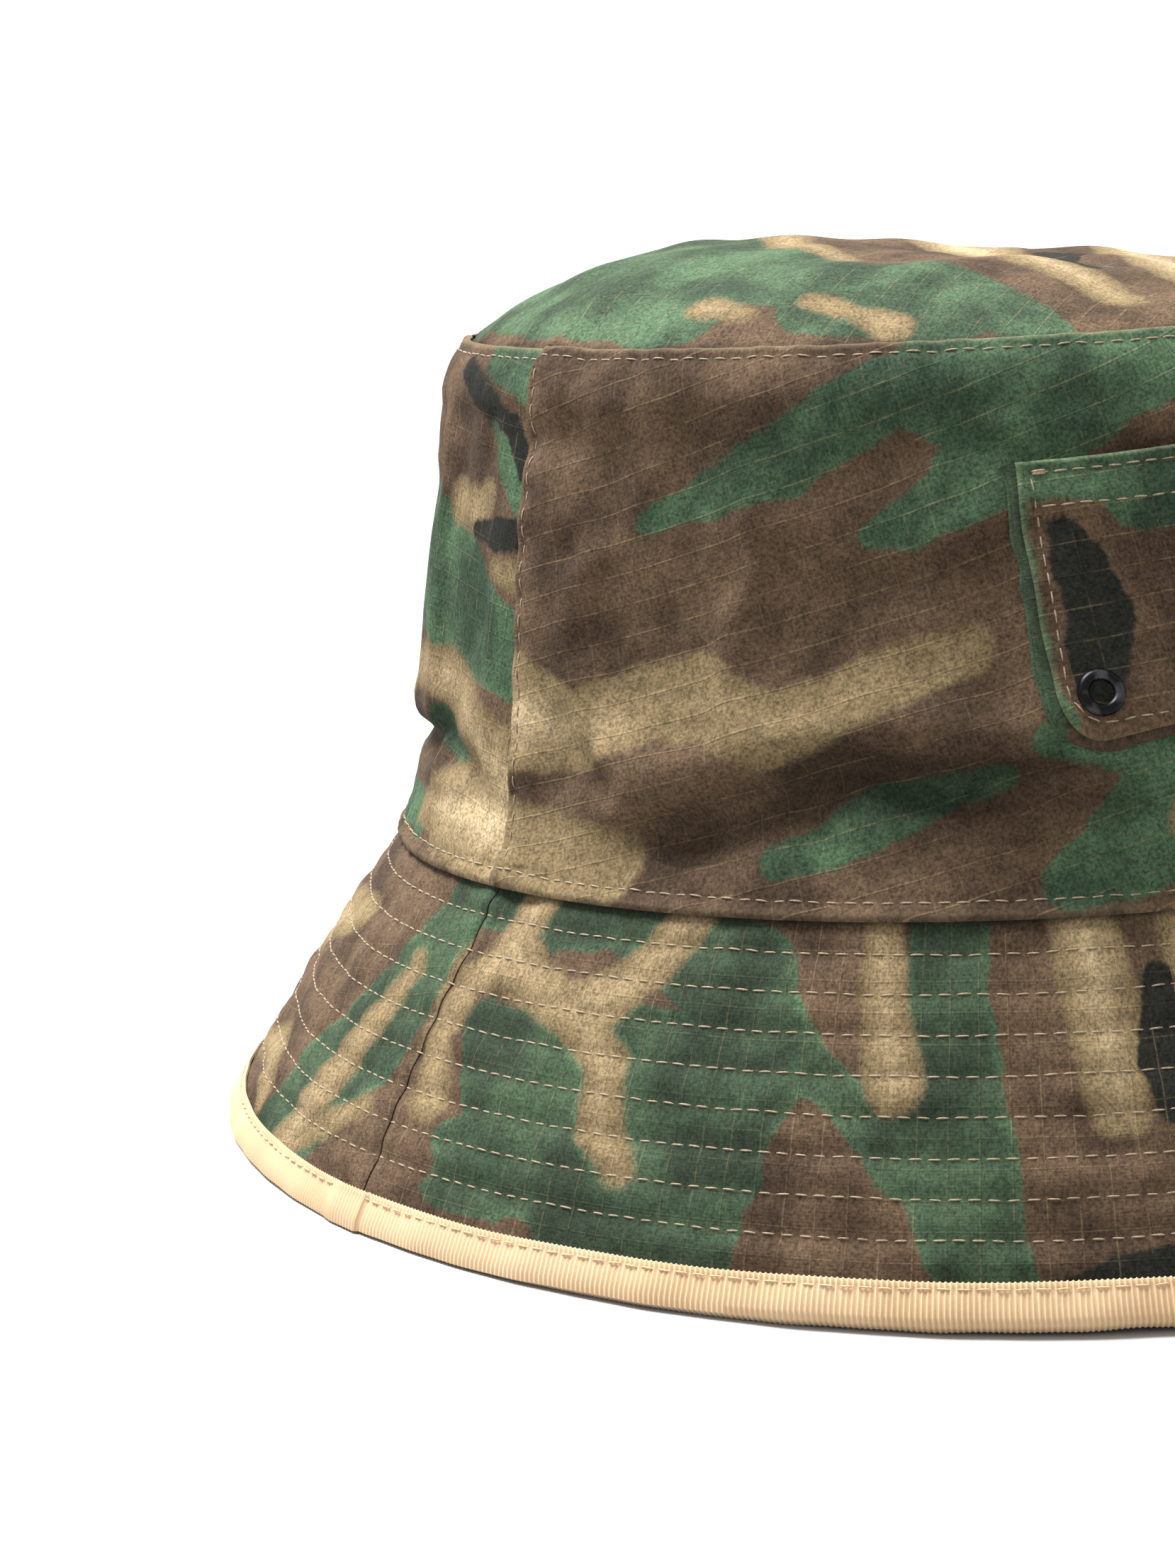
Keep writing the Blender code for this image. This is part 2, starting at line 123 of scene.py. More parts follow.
def nodeTools(material, shader):
    # The few nodes that every finish is made of, each as a call that gives its output.
    place = addNode(material, "ShaderNodeTexCoord").outputs["Object"]

    def noise(size, detail, vector=place, rough=0.5):
        return joined(material, "ShaderNodeTexNoise", "Fac", {},
                      {"Scale": 1 / size, "Detail": detail, "Roughness": rough, "Vector": vector})

    def combine(operation, a, b):
        return joined(material, "ShaderNodeMath", 0, {"operation": operation}, {0: a, 1: b})

    def ramp(value, low, high, toLow=0.0, toHigh=1.0, curve="LINEAR"):
        return joined(material, "ShaderNodeMapRange", 0, {"interpolation_type": curve},
                      {"From Min": low, "From Max": high, "To Min": toLow, "To Max": toHigh, "Value": value})

    def mix(factor, a, b, blend="MIX"):
        return joined(material, "ShaderNodeMix", 2, {"data_type": "RGBA", "blend_type": blend},
                      {0: factor, 6: a, 7: b})

    def finish(colour, height, strength, distance):
        normal = joined(material, "ShaderNodeBump", "Normal", {},
                        {"Strength": strength, "Distance": distance, "Height": height})
        material.node_tree.links.new(colour, shader.inputs["Base Color"])
        material.node_tree.links.new(normal, shader.inputs["Normal"])
        return material

    return noise, combine, ramp, mix, finish


def clothCut(material):
    return addNode(material, "ShaderNodeUVMap", {"uv_map": "cloth"}).outputs["UV"]


def fieldValue(material, name):
    return addNode(material, "ShaderNodeAttribute", {"attribute_name": name}).outputs["Fac"]


def setStage():
    bpy.ops.object.select_all(action="DESELECT")
    eye, right, top, look = cameraAxes()
    bpy.ops.object.camera_add()
    camera = bpy.context.object
    camera.data.lens = view["lens"]
    camera.data.clip_start = 0.01
    camera.matrix_world = Matrix.Translation(eye) @ Matrix((right, top, -look)).transposed().to_4x4()
    bpy.context.scene.camera = camera
    bpy.context.scene.view_settings.view_transform = "Standard"

    world = bpy.context.scene.world or bpy.data.worlds.new("studio")
    bpy.context.scene.world = world
    world.use_nodes = True
    sky = world.node_tree.nodes["Background"]
    sky.inputs["Color"].default_value = (1.0, 1.0, 1.0, 1.0)
    sky.inputs["Strength"].default_value = studio["worldStrength"]

    left, near = -right, -look
    toLeft, toBack, toTop = studio["keyFrom"]
    source = left * toLeft - near * toBack + Vector((0.0, 0.0, toTop))
    bpy.ops.object.light_add(type="SUN", location=source)
    key = bpy.context.object
    key.name = "key"
    key.data.energy = studio["keyStrength"]
    key.data.angle = math.radians(studio["keyAngle"])
    key.rotation_euler = source.to_track_quat("Z", "Y").to_euler()

    bpy.ops.mesh.primitive_plane_add(size=16.0)
    floor = bpy.context.object
    floor.name = "floor"
    # plain paper without a gloss, so that the ground falls away to white
    floor.data.materials.append(newMaterial("matt white paper", 0.95, studio["floorColour"])[0])
    print("stage set")


# The hat's form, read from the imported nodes

form = {
    "flare": 0.0036,         # the foot of the crown turns out by this much
    "flareHeight": 0.010,
    "swell": 1.36,           # curve of the crown's side: 1 is a straight cone
    "baseStitchUp": 0.0024,  # the rows of topstitching, from the seams that they follow
    "tipStitchDown": 0.0018,
    "domeRise": 0.0150,
    "domeFullness": 3.9,
    "tipStep": 0.0008,       # the side's folded edge stands above the tip's seam
    "leanAside": 0.0002,     # how far the crown leans to the wearer's left
    "tipTilt": 0.0014,       # and how much higher it stands on the wearer's right
    "domeSag": 0.16,         # the tip's cloth has sunk by this share
    "domeLean": 0.32,        # and more on the wearer's left and front than on the right
    "topCurl": 0.0026,       # the side turns in at its very top, over topCurlHeight
    "topCurlHeight": 0.0075,
    "brimBulge": 0.0013,     # the brim is a little full between its seam and its edge
    "edgeLift": 0.0018,      # the brim's edge stands off the floor a little at the front
    "seamTwist": 0.012,      # turn of the crown's side seams between base and tip, radians
    "brimWave": 0.0011,
}
panelLow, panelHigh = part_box("crown_front_panel")
baseLow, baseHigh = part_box("base_seam_topstitch")
tipLow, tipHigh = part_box("tip_seam_topstitch")
edgeLow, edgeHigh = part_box("brim_edge_binding")
threadStand = 0.0005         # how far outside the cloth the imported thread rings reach
halfWidth, halfLength = panelHigh.x, -panelLow.y
baseZ = 0.5 * (baseLow.z + baseHigh.z) - form["baseStitchUp"]
baseRise = 0.5 * (baseHigh.z - baseLow.z) - 0.0002
tipRise = 0.5 * (tipHigh.z - tipLow.z) * halfLength / (0.5 * (tipHigh.y - tipLow.y)) - 0.0003
setback = 0.5 * (tipLow.y + tipHigh.y)
tipZ = 0.5 * (tipLow.z + tipHigh.z) + form["tipStitchDown"] + tipRise * setback / halfLength
crownHeight = tipZ - baseZ
taper = halfWidth - form["flare"] - (tipHigh.x - threadStand)
overhang = edgeHigh.x - halfWidth - 0.0006
crownArc, brimArc = 0.090, 0.112     # radii that turn an angle into a length along a panel
crownEnd, brimEnd = math.pi * crownArc, math.pi * brimArc
print(f"form: crown {crownHeight:.4f} high, taper {taper:.4f}, brim {overhang:.4f} out and {baseZ:.4f} down")

cloth = 0.0006
liningDepth = 0.0038         # from the crown's outer face to the lining's
tipReach = 0.078             # the tip's middle radius
tipHalf = (0.0745, 0.0825)   # half of the tip's cloth, across and along


def smooth(x):
    x = np.clip(x, 0.0, 1.0)
    return x * x * (3 - 2 * x)


def ripple(u, v, size, seed, waves=6):
    # Smooth noise from a few plane waves, about -1 to 1. size is the usual length of a wave.
    rng = np.random.RandomState(seed)
    total = np.zeros(np.broadcast(u, v).shape)
    for _ in range(waves):
        heading, phase = rng.uniform(0, math.pi), rng.uniform(0, 2 * math.pi)
        k = 2 * math.pi / (size * rng.uniform(0.7, 1.5))
        total += np.sin(k * (u * math.cos(heading) + v * math.sin(heading)) + phase)
    return total / math.sqrt(waves)


def ridge(x, width):
    # 1 where x is 0, falling away smoothly on both sides.
    return np.exp(-(x / width) ** 2)


def wallRadius(height):
    low = np.clip(height / form["flareHeight"], 0.0, 1.0)
    share = np.clip(height, 0.0, None) / crownHeight
    curl = np.clip((height - crownHeight) / form["topCurlHeight"] + 1, 0.0, 1.0)
    foot = form["flare"] * (1 - (1 - low) ** 2)
    return -foot - taper * share ** form["swell"] - form["topCurl"] * curl ** 2


seamRadius = float(wallRadius(crownHeight))


def hatPlace(r, z, angle):
    # A point r outside the base seam's oval at height z, with the crown's lean and the rise to the front.
    r, z, angle = np.broadcast_arrays(r, z, angle)
    wide = halfWidth + r
    stretch = (halfLength + seamRadius) / (halfWidth + seamRadius)
    long = np.where(r >= seamRadius, halfLength + r, wide * stretch)
    x, y = wide * np.cos(angle), long * np.sin(angle)
    lean = np.clip((z - baseZ) / crownHeight, 0.0, 1.0)
    lift = baseRise * np.clip(z / baseZ, 0.0, 1.0) * (1 - lean) + tipRise * lean
    tilt = form["tipTilt"] * lean * x / halfWidth
    return np.stack([x + form["leanAside"] * lean, y + setback * lean, z - lift * y / halfLength - tilt], -1)


def surfaceNormal(surface, u, v, step=0.0003):
    du = surface(u + step, v) - surface(u - step, v)
    dv = surface(u, v + step) - surface(u, v - step)
    normal = np.cross(du, dv)
    return normal / np.linalg.norm(normal, axis=-1, keepdims=True)


# Soft folds of the crown: where each runs (along the panel and up it), its width and its depth in metres.
# The cloth swells above a fold's line and sinks below it.
crownFolds = [
    ((0.106, 0.022), (0.062, 0.025), 0.0062, 0.0046),
    ((0.062, 0.025), (0.028, 0.014), 0.0075, 0.0034),
    ((0.000, 0.072), (0.085, 0.070), 0.0060, 0.0008),
    ((0.050, 0.048), (0.090, 0.056), 0.0075, 0.0007),
    ((0.010, 0.040), (0.040, 0.050), 0.0080, 0.0006),
    ((-0.075, 0.018), (-0.030, 0.023), 0.0050, 0.0019),
    ((-0.030, 0.023), (-0.006, 0.017), 0.0060, 0.0009),
    ((-0.080, 0.060), (-0.030, 0.066), 0.0070, 0.0010),
    ((0.175, 0.022), (0.235, 0.031), 0.0065, 0.0012),
    ((0.190, 0.068), (0.270, 0.071), 0.0065, 0.0008),
    ((-0.190, 0.025), (-0.120, 0.032), 0.0070, 0.0012),
    ((-0.250, 0.064), (-0.170, 0.058), 0.0080, 0.0010),
]


def foldRelief(s, h):
    relief = np.zeros(np.broadcast(s, h).shape)
    for (s0, h0), (s1, h1), width, depth in crownFolds:
        run = math.hypot(s1 - s0, h1 - h0)
        along = ((s - s0) * (s1 - s0) + (h - h0) * (h1 - h0)) / run
        across = (-(s - s0) * (h1 - h0) + (h - h0) * (s1 - s0)) / run
        if s1 < s0:
            across = -across
        ends = smooth((along + 0.010) / 0.020) * smooth((run + 0.010 - along) / 0.020)
        shape = (across / width) * ridge(across, width)
        relief += 2.6 * depth * np.where(across > 0, 0.35, 1.0) * shape * ends
    return relief


def crownSurface(s, h):
    # s runs along the side from the wearer's right-hand seam over the front.
    # h is the height over the base seam.
    s, h = np.broadcast_arrays(np.asarray(s, float), np.asarray(h, float))
    share = np.clip(h / crownHeight, -0.1, 1.0)
    angle = math.pi + s / crownArc + form["seamTwist"] * (share - 0.3)
    belly = np.sin(math.pi * np.clip(share, 0, 1)) ** 1.3
    wrapped = np.mod(s + crownEnd, 2 * crownEnd) - crownEnd
    swell = 0.0009 * ripple(np.sin(angle) * 0.1, h + np.cos(angle) * 0.1, 0.075, 4) * belly
    folds = (foldRelief(wrapped, h) + foldRelief(wrapped + 2 * crownEnd, h)) * smooth(h / 0.008)
    folds *= smooth((crownHeight - h) / 0.006)
    return hatPlace(wallRadius(h) + swell + folds, baseZ + h, angle)


brimLength = math.hypot(overhang + 0.001, baseZ)
brimOut, brimDown = (overhang + 0.001) / brimLength, baseZ / brimLength


def brimSurface(s, d):
    # d runs down the brim from the base seam; above the seam the cloth goes up inside the crown.
    s, d = np.broadcast_arrays(np.asarray(s, float), np.asarray(d, float))
    angle = math.pi + s / brimArc
    down = np.clip(d, 0.0, None)
    wave = form["brimWave"] * np.sin(3 * angle + 0.9) * (down / brimLength) ** 1.5
    wave = wave + form["brimBulge"] * np.sin(math.pi * np.clip(down / brimLength, 0, 1))
    r = np.where(d >= 0, -0.001 + brimOut * down, wallRadius(-d) - 0.0009) + wave
    lift = form["edgeLift"] * np.clip(np.cos(angle + 1.6), 0, 1) ** 2 * (down / brimLength) ** 2
    z = np.where(d >= 0, baseZ - brimDown * down, baseZ - d) + lift
    return hatPlace(r, z, angle)


def tipSurface(p, q):
    # p and q run from -1 to 1 over the tip; past 1 the cloth turns down inside the side.
    p, q = np.broadcast_arrays(np.asarray(p, float), np.asarray(q, float))
    rho, angle = np.hypot(p, q), np.arctan2(q, p)
    inner = seamRadius - 0.0008
    edgeZ = tipZ - form["tipStep"]
    r = (halfWidth + inner) * np.clip(rho, 0, 1) - halfWidth
    dome = form["domeRise"] * (1 - np.clip(rho, 0, 1) ** form["domeFullness"])
    dome = dome * (1 - form["domeSag"] - form["domeLean"] * (0.8 * p - 0.6 * q))
    sag = 0.0007 * ripple(p * 0.07, q * 0.08, 0.06, 9) * (1 - np.clip(rho, 0, 1) ** 4)
    point = hatPlace(r, np.full(r.shape, tipZ), angle)
    point[..., 2] += edgeZ - tipZ + dome + sag - np.clip(rho - 1, 0, None) * 0.075
    return point


# Meshes

def denseEnds(start, end, fine, coarse, reach=0.006):
    # Positions from start to end, close together near both ends.
    length, places = end - start, [0.0]
    while places[-1] < length:
        near = min(places[-1], length - places[-1]) / reach
        places.append(places[-1] + fine + (coarse - fine) * float(smooth(near)))
    return start + np.array(places) * length / places[-1]


def newSheet(name, us, vs):
    # A flat grid of cloth; gives the object and each vertex's place in us and vs.
    bpy.ops.object.select_all(action="DESELECT")
    bpy.ops.mesh.primitive_grid_add(x_subdivisions=len(us) - 1, y_subdivisions=len(vs) - 1, size=1.0)
    sheet = bpy.context.object
    sheet.name = sheet.data.name = name
    flat = np.zeros(len(sheet.data.vertices) * 3)
    sheet.data.vertices.foreach_get("co", flat)
    flat = flat.reshape(-1, 3)
    column = np.rint((flat[:, 0] + 0.5) * (len(us) - 1)).astype(int)
    row = np.rint((flat[:, 1] + 0.5) * (len(vs) - 1)).astype(int)
    return sheet, np.asarray(us)[column], np.asarray(vs)[row]


def movePoints(sheet, points):
    sheet.data.vertices.foreach_set("co", np.ascontiguousarray(points, dtype=np.float32).ravel())
    sheet.data.update()


def setCut(sheet, u, v, grain):
    # The UV map holds the cloth in metres, turned so that its threads run true to the grain.
    turn = math.radians(grain)
    flat = np.stack([u * math.cos(turn) + v * math.sin(turn), v * math.cos(turn) - u * math.sin(turn)], -1)
    corner = np.zeros(len(sheet.data.loops), dtype=np.int32)
    sheet.data.loops.foreach_get("vertex_index", corner)
    while sheet.data.uv_layers:
        sheet.data.uv_layers.remove(sheet.data.uv_layers[0])
    layer = sheet.data.uv_layers.new(name="cloth")
    layer.data.foreach_set("uv", flat[corner].astype(np.float32).ravel())


def setField(sheet, name, values):
    field = sheet.data.attributes.new(name, "FLOAT", "POINT")
    field.data.foreach_set("value", np.ascontiguousarray(values, dtype=np.float32))


def makeActive(piece):
    bpy.ops.object.select_all(action="DESELECT")
    piece.select_set(True)
    bpy.context.view_layer.objects.active = piece


def closeSeam(sheet):
    makeActive(sheet)
    bpy.ops.object.mode_set(mode="EDIT")
    bpy.ops.mesh.select_all(action="SELECT")
    bpy.ops.mesh.remove_doubles(threshold=0.00002)
    bpy.ops.object.mode_set(mode="OBJECT")


def thicken(sheet, thickness):
    # The cloth's thickness goes inwards from the modelled face.
    makeActive(sheet)
    solid = sheet.modifiers.new("thickness", "SOLIDIFY")
    solid.thickness = thickness
    solid.offset = -1.0
    bpy.ops.object.modifier_apply(modifier=solid.name)
    bpy.ops.object.shade_smooth_by_angle(angle=math.radians(50))


def finishPiece(piece, material, slot, node):
    piece.data.materials.clear()
    piece.data.materials.append(material)
    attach(piece, "root")
    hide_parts(node)


# Slack in the crown's cloth: a coarse copy of the panel is a little too big for its seams and settles by
# cloth simulation; the fine panel takes its sag.

slack = {
    "spacing": 0.0045,
    "extra": 0.014,       # share by which the cloth is longer than its seams
    "frames": 16,
    "cap": 0.0022,
    "cotton": {"quality": 6, "mass": 0.12, "tension_stiffness": 12.0, "compression_stiffness": 12.0,
               "shear_stiffness": 4.0, "bending_stiffness": 0.35},
}


def settleSlack(surface, uFrom, uTo, vFrom, vTo, held):
    # Offsets on a regular grid, rows along v. held(u, v) is true where the cloth is sewn down.
    columns = int(round((uTo - uFrom) / slack["spacing"])) + 1
    rows = int(round((vTo - vFrom) / slack["spacing"])) + 1
    us, vs = np.linspace(uFrom, uTo, columns), np.linspace(vFrom, vTo, rows)
    sheet, u, v = newSheet("slack_try", us, vs)
    rest = surface(u, v)
    movePoints(sheet, rest + surfaceNormal(surface, u, v) * (0.0004 * ripple(u, v, 0.022, 21))[:, None])
    sewn = sheet.vertex_groups.new(name="sewn")
    border = (u < us[0] + 1e-6) | (u > us[-1] - 1e-6) | (v < vs[0] + 1e-6) | (v > vs[-1] - 1e-6)
    sewn.add([int(i) for i in np.nonzero(border | held(u, v))[0]], 1.0, "REPLACE")
    drape = sheet.modifiers.new("drape", "CLOTH")
    for key, value in slack["cotton"].items():
        setattr(drape.settings, key, value)
    drape.settings.shrink_min = -slack["extra"]
    drape.settings.vertex_group_mass = "sewn"
    drape.point_cache.frame_start = 1
    drape.point_cache.frame_end = slack["frames"]
    for step in range(1, slack["frames"] + 1):
        bpy.context.scene.frame_set(step)
    makeActive(sheet)
    bpy.ops.object.modifier_apply(modifier=drape.name)
    settled = np.zeros(len(sheet.data.vertices) * 3)
    sheet.data.vertices.foreach_get("co", settled)
    offset = settled.reshape(-1, 3) - rest
    size = np.linalg.norm(offset, axis=1, keepdims=True)
    offset *= slack["cap"] * np.tanh(size / slack["cap"]) / np.maximum(size, 1e-9)
    print(f"slack settled: {1000 * size.max():.1f} mm at most before the cap")
    grid = np.zeros((rows, columns, 3))
    row = np.rint((v - vFrom) / (vs[1] - vs[0])).astype(int)
    column = np.rint((u - uFrom) / (us[1] - us[0])).astype(int)
    grid[row, column] = offset
    bpy.data.objects.remove(sheet, do_unlink=True)
    bpy.context.scene.frame_set(1)
    return grid


def readSlack(grid, u, v, uFrom, uTo, vFrom, vTo):
    # Smooth reading between the grid's points, by the cubic that passes through four neighbours.
    rows, columns = grid.shape[:2]
    x = np.clip((u - uFrom) / (uTo - uFrom), 0, 1) * (columns - 1)
    y = np.clip((v - vFrom) / (vTo - vFrom), 0, 1) * (rows - 1)

    def weights(t):
        return [-0.5 * t + t ** 2 - 0.5 * t ** 3, 1 - 2.5 * t ** 2 + 1.5 * t ** 3,
                0.5 * t + 2 * t ** 2 - 1.5 * t ** 3, -0.5 * t ** 2 + 0.5 * t ** 3]

    i, j = np.minimum(x.astype(int), columns - 2), np.minimum(y.astype(int), rows - 2)
    across, up = weights(x - i), weights(y - j)
    total = np.zeros((len(u), 3))
    for b, wy in enumerate(up):
        for a, wx in enumerate(across):
            jj, ii = np.clip(j + b - 1, 0, rows - 1), np.clip(i + a - 1, 0, columns - 1)
            total += grid[jj, ii] * (wx * wy)[:, None]
    return total


# The camouflage print. Each stroke is a list of (along, up, radius) in millimetres on its own panel.
# Brown is the ground; green goes over it, brown strokes cut into the green, then khaki, then black.
# Inside a "thin" stroke the khaki is sprayed lightly and stays olive. A print leaves out inks it doesn't use.

crownFrontPrint = {
    "green": [
        [(28, 57, 1.5), (40, 61, 3.5), (52, 65, 5), (64, 70, 6.5), (78, 75, 7), (95, 75, 9), (115, 78, 8),
         (140, 84, 8)],
        [(69, 55, 2), (77, 58, 4.5), (86, 63, 6), (96, 68, 8), (112, 76, 7)],
        [(52, 7, 2.5), (60, 10, 3.5), (70, 15, 3.8), (79, 18, 3), (88, 20, 2)],
        [(95, 4, 4), (105, 9, 7), (114, 15, 9), (128, 20, 11), (150, 14, 9)],
        [(94, 25, 2.5), (104, 24, 4), (116, 22, 6)],
    ],
    "brown": [[(62, 60, 3.5), (70, 63, 4.2), (76, 66, 4)], [(108, 64, 2), (124, 67, 3), (140, 72, 4)]],
    "khaki": [
        [(-4, 27, 10), (6, 26, 8), (16, 25, 5.5), (28, 30, 5.5), (40, 32, 6), (50, 27, 5.5), (60, 30, 4.5),
         (72, 35, 4), (84, 39, 3.2)],
        [(-4, 10, 4), (4, 7, 6), (14, 6, 6), (24, 6, 5)],
        [(113, 12, 2), (118, 16, 3)],
    ],
    "thin": [[(24, 38, 9), (48, 30, 14), (84, 40, 10)], [(2, 0, 6), (10, 5, 12), (30, 4, 12)]],
}
crownBackPrint = {
    "green": [
        [(-16, 82, 4), (-4, 80, 5), (2, 76, 4)],
        [(-13, 71, 1.5), (-6, 65, 3.6), (0, 58, 3)],
        [(-75, 50, 10), (-58, 48, 11), (-40, 47, 12), (-26, 44, 12), (-14, 39, 9), (-2, 35, 7)],
        [(-34, 22, 3), (-25, 21, 4), (-19, 17, 2.5)],
        [(-60, 6, 4), (-40, 6, 3.5), (-33, 4, 2)],
    ],
    "khaki": [
        [(-28, 58, 3.5), (-18, 57, 3.5), (-12, 60, 2)],
        [(-8, 48, 1.5), (0, 47, 3)],
        [(-62, 27, 4), (-40, 31, 3.5), (-26, 30, 4.5), (-16, 24, 5), (-8, 18, 7), (2, 14, 9)],
        [(-34, 7, 2.5), (-22, 9, 7), (-8, 9, 9), (3, 8, 10)],
    ],
    "black": [
        [(-30, 79, 1.8), (-21, 76, 2.8), (-12, 73, 2.0), (-5, 70, 2.6), (-1, 64, 2)],
        [(-18, 54, 1.2), (-9, 53.5, 2.4), (2, 54, 3.4)],
    ],
}
tipPrint = {
    "green": [
        [(-60, -20, 12), (-58, 10, 14), (-45, 40, 18), (-20, 60, 16), (10, 62, 18), (40, 55, 12)],
        [(-45, -30, 12), (-40, -5, 16), (-30, 25, 18), (-8, 48, 14)],
        [(-48, -44, 10), (-38, -60, 9), (-33, -40, 7), (-30, -74, 6)],
    ],
    "khaki": [
        [(-60, -24, 3), (-59, -33, 2.2)],
        [(-50, -40, 2.4), (-48, -50, 2), (-47, -57, 3.5)],
        [(-29, -22, 2.2), (-22, 5, 4), (-5, 32, 5), (20, 50, 3)],
        [(-10, -68, 5), (-8, -48, 6), (-2, -25, 7), (12, 5, 9), (35, 25, 6), (58, 28, 3)],
        [(14, -60, 7), (28, -35, 8), (40, -10, 6)],
    ],
    "black": [
        [(-2, -52, 2), (3, -45, 4), (4, -36, 3), (11, -28, 4.2), (20, -24, 1.8)],
        [(42, 24, 1.5), (48, 18, 3.6), (57, 16, 3), (62, 9, 1.6)],
        [(28, -62, 1.8), (35, -57, 4), (38, -48, 2.6), (46, -44, 3.4), (49, -36, 1.6)],
    ],
}
brimFrontPrint = {
    "green": [
        [(2, 0, 7), (20, 3, 6), (34, 1, 6), (50, 5, 8), (62, 10, 9), (62, 24, 12), (54, 40, 12)],
        [(12, 22, 4), (24, 28, 12), (40, 28, 14), (56, 30, 14), (64, 48, 7), (56, 60, 8)],
        [(18, 44, 8), (34, 44, 8), (48, 50, 8)],
        [(96, -4, 6.5), (96, 12, 7), (97, 28, 8.5), (99, 42, 8), (102, 54, 7), (103, 64, 7)],
        [(66, 14, 6), (72, 20, 4.5), (80, 26, 3.5), (86, 30, 5), (92, 36, 6)],
    ],
    "brown": [
        [(78, -2, 7), (79, 8, 6), (81, 15, 3)],
        [(75, 29, 0.8), (76, 36, 4.5), (77, 45, 9), (78, 56, 11)],
        [(32, 54, 4)],
        [(2, 56, 9), (7, 46, 6)],
    ],
    "khaki": [
        [(7, 35, 4.5), (4, 26, 3), (5, 16, 3.5), (12, 9, 5), (20, 14, 4), (30, 17, 3.8), (36, 15, 5),
         (44, 8, 4), (50, -2, 4)],
        [(34, 19, 4), (40, 24, 3.5), (42, 34, 3.8), (47, 40, 2.6)],
        [(14, -2, 4.5), (13, 8, 4)],
        [(84, -2, 3), (86, 12, 3.5), (88, 24, 4.6)],
        [(119, -2, 6), (121, 14, 6), (122, 28, 4.5)],
        [(137, 2, 4), (136, 20, 4), (140, 34, 4)],
    ],
    "black": [[(131, 10, 2.5), (129, 22, 3.5), (130, 30, 2)], [(108, 56, 2), (118, 54, 3.5), (128, 52, 4)]],
}
brimBackPrint = {
    "green": [
        [(-34, 56, 10), (-25, 42, 12), (-15, 28, 12), (-9, 14, 9), (-4, 0, 9)],
        [(-150, 20, 9), (-128, 14, 8), (-112, 4, 6)],
    ],
    "khaki": [
        [(-106, 31, 6), (-84, 24, 7), (-64, 17, 5.5), (-46, 13, 3)],
        [(-30, 56, 4), (-23, 42, 4.5), (-17, 28, 3.5), (-12, 16, 2.5)],
        [(-27, 54, 2.2), (-15, 45, 2.2), (-8, 40, 2)],
        [(-68, 46, 3), (-54, 42, 4), (-46, 50, 3)],
        [(2, 30, 3), (2, 12, 3)],
    ],
}
pocketPrint = {
    "green": [
        [(-44, 18, 4), (-24, 17, 5), (0, 18, 5), (26, 19, 5)],
        [(-27, 12, 4), (-17, 11, 3)],
        [(-46, 20, 3.4), (-46, -21, 3.4)],
        [(20, -16, 6), (34, -6, 7), (46, 4, 6)],
    ],
    "khaki": [[(4, -19, 4), (12, -4, 4), (24, 6, 3)]],
    "black": [
        [(-38.5, 9, 2.4), (-37, 4, 3.8), (-35.5, -4, 5.4), (-37, -10, 4.4), (-38, -14, 2.8)],
        [(38, 16, 3), (43, 6, 3)],
    ],
}


def strewStrokes(pattern, seed, uFrom, uTo, vFrom, vTo, count, heading):
    # Adds strokes of the same hand where the print isn't placed one by one.
    rng = np.random.RandomState(seed)
    widths = {"green": 7.5, "khaki": 4.2, "black": 2.8}
    for number in range(count):
        colour = ("green", "khaki", "green", "khaki", "black")[number % 5]
        u, v = rng.uniform(uFrom, uTo), rng.uniform(vFrom, vTo)
        turn = math.radians(heading + rng.uniform(-28, 28))
        stroke = []
        for _ in range(rng.randint(3, 6)):
            stroke.append((u, v, widths[colour] * rng.uniform(0.55, 1.25)))
            turn += math.radians(rng.uniform(-30, 30))
            reach = widths[colour] * rng.uniform(1.6, 2.6)
            u, v = u + reach * math.cos(turn), v + reach * math.sin(turn)
        pattern.setdefault(colour, []).append(stroke)


def strokeDepth(strokes, u, v):
    # How far inside the nearest stroke each point is, in metres; outside it is negative.
    depth = np.full(len(u), -0.05)
    for stroke in strokes:
        # a stroke of one bead is a round spot
        beads = stroke if len(stroke) > 1 else stroke * 2
        for (u0, v0, r0), (u1, v1, r1) in zip(beads, beads[1:]):
            run2 = max((u1 - u0) ** 2 + (v1 - v0) ** 2, 1e-6)
            t = np.clip(((u * 1000 - u0) * (u1 - u0) + (v * 1000 - v0) * (v1 - v0)) / run2, 0, 1)
            gone = np.hypot(u * 1000 - u0 - t * (u1 - u0), v * 1000 - v0 - t * (v1 - v0))
            depth = np.maximum(depth, (r0 + (r1 - r0) * t - gone) / 1000)
    return depth


def printCloth(sheet, pattern, u, v):
    # Gives how far inside the bare green each point is.
    green, brown, khaki, black, thin = [strokeDepth(pattern.get(ink, []), u, v)
                                        for ink in ("green", "brown", "khaki", "black", "thin")]
    green = np.minimum(green, -brown)
    setField(sheet, "green", green)
    setField(sheet, "khaki", khaki - 0.75 * smooth(thin / 0.005) * np.clip(khaki - 0.0006, 0, None))
    setField(sheet, "black", black)
    return np.minimum(green, -khaki)


strewStrokes(crownFrontPrint, 3, 150, 280, 5, 78, 20, 20)
strewStrokes(crownBackPrint, 8, -276, -80, 5, 78, 30, 20)
strewStrokes(brimFrontPrint, 5, 150, 350, 2, 58, 28, 85)
strewStrokes(brimBackPrint, 6, -350, -120, 2, 58, 30, 60)
underPrint = {}
strewStrokes(underPrint, 12, -350, 350, 2, 58, 95, 70)


# Materials

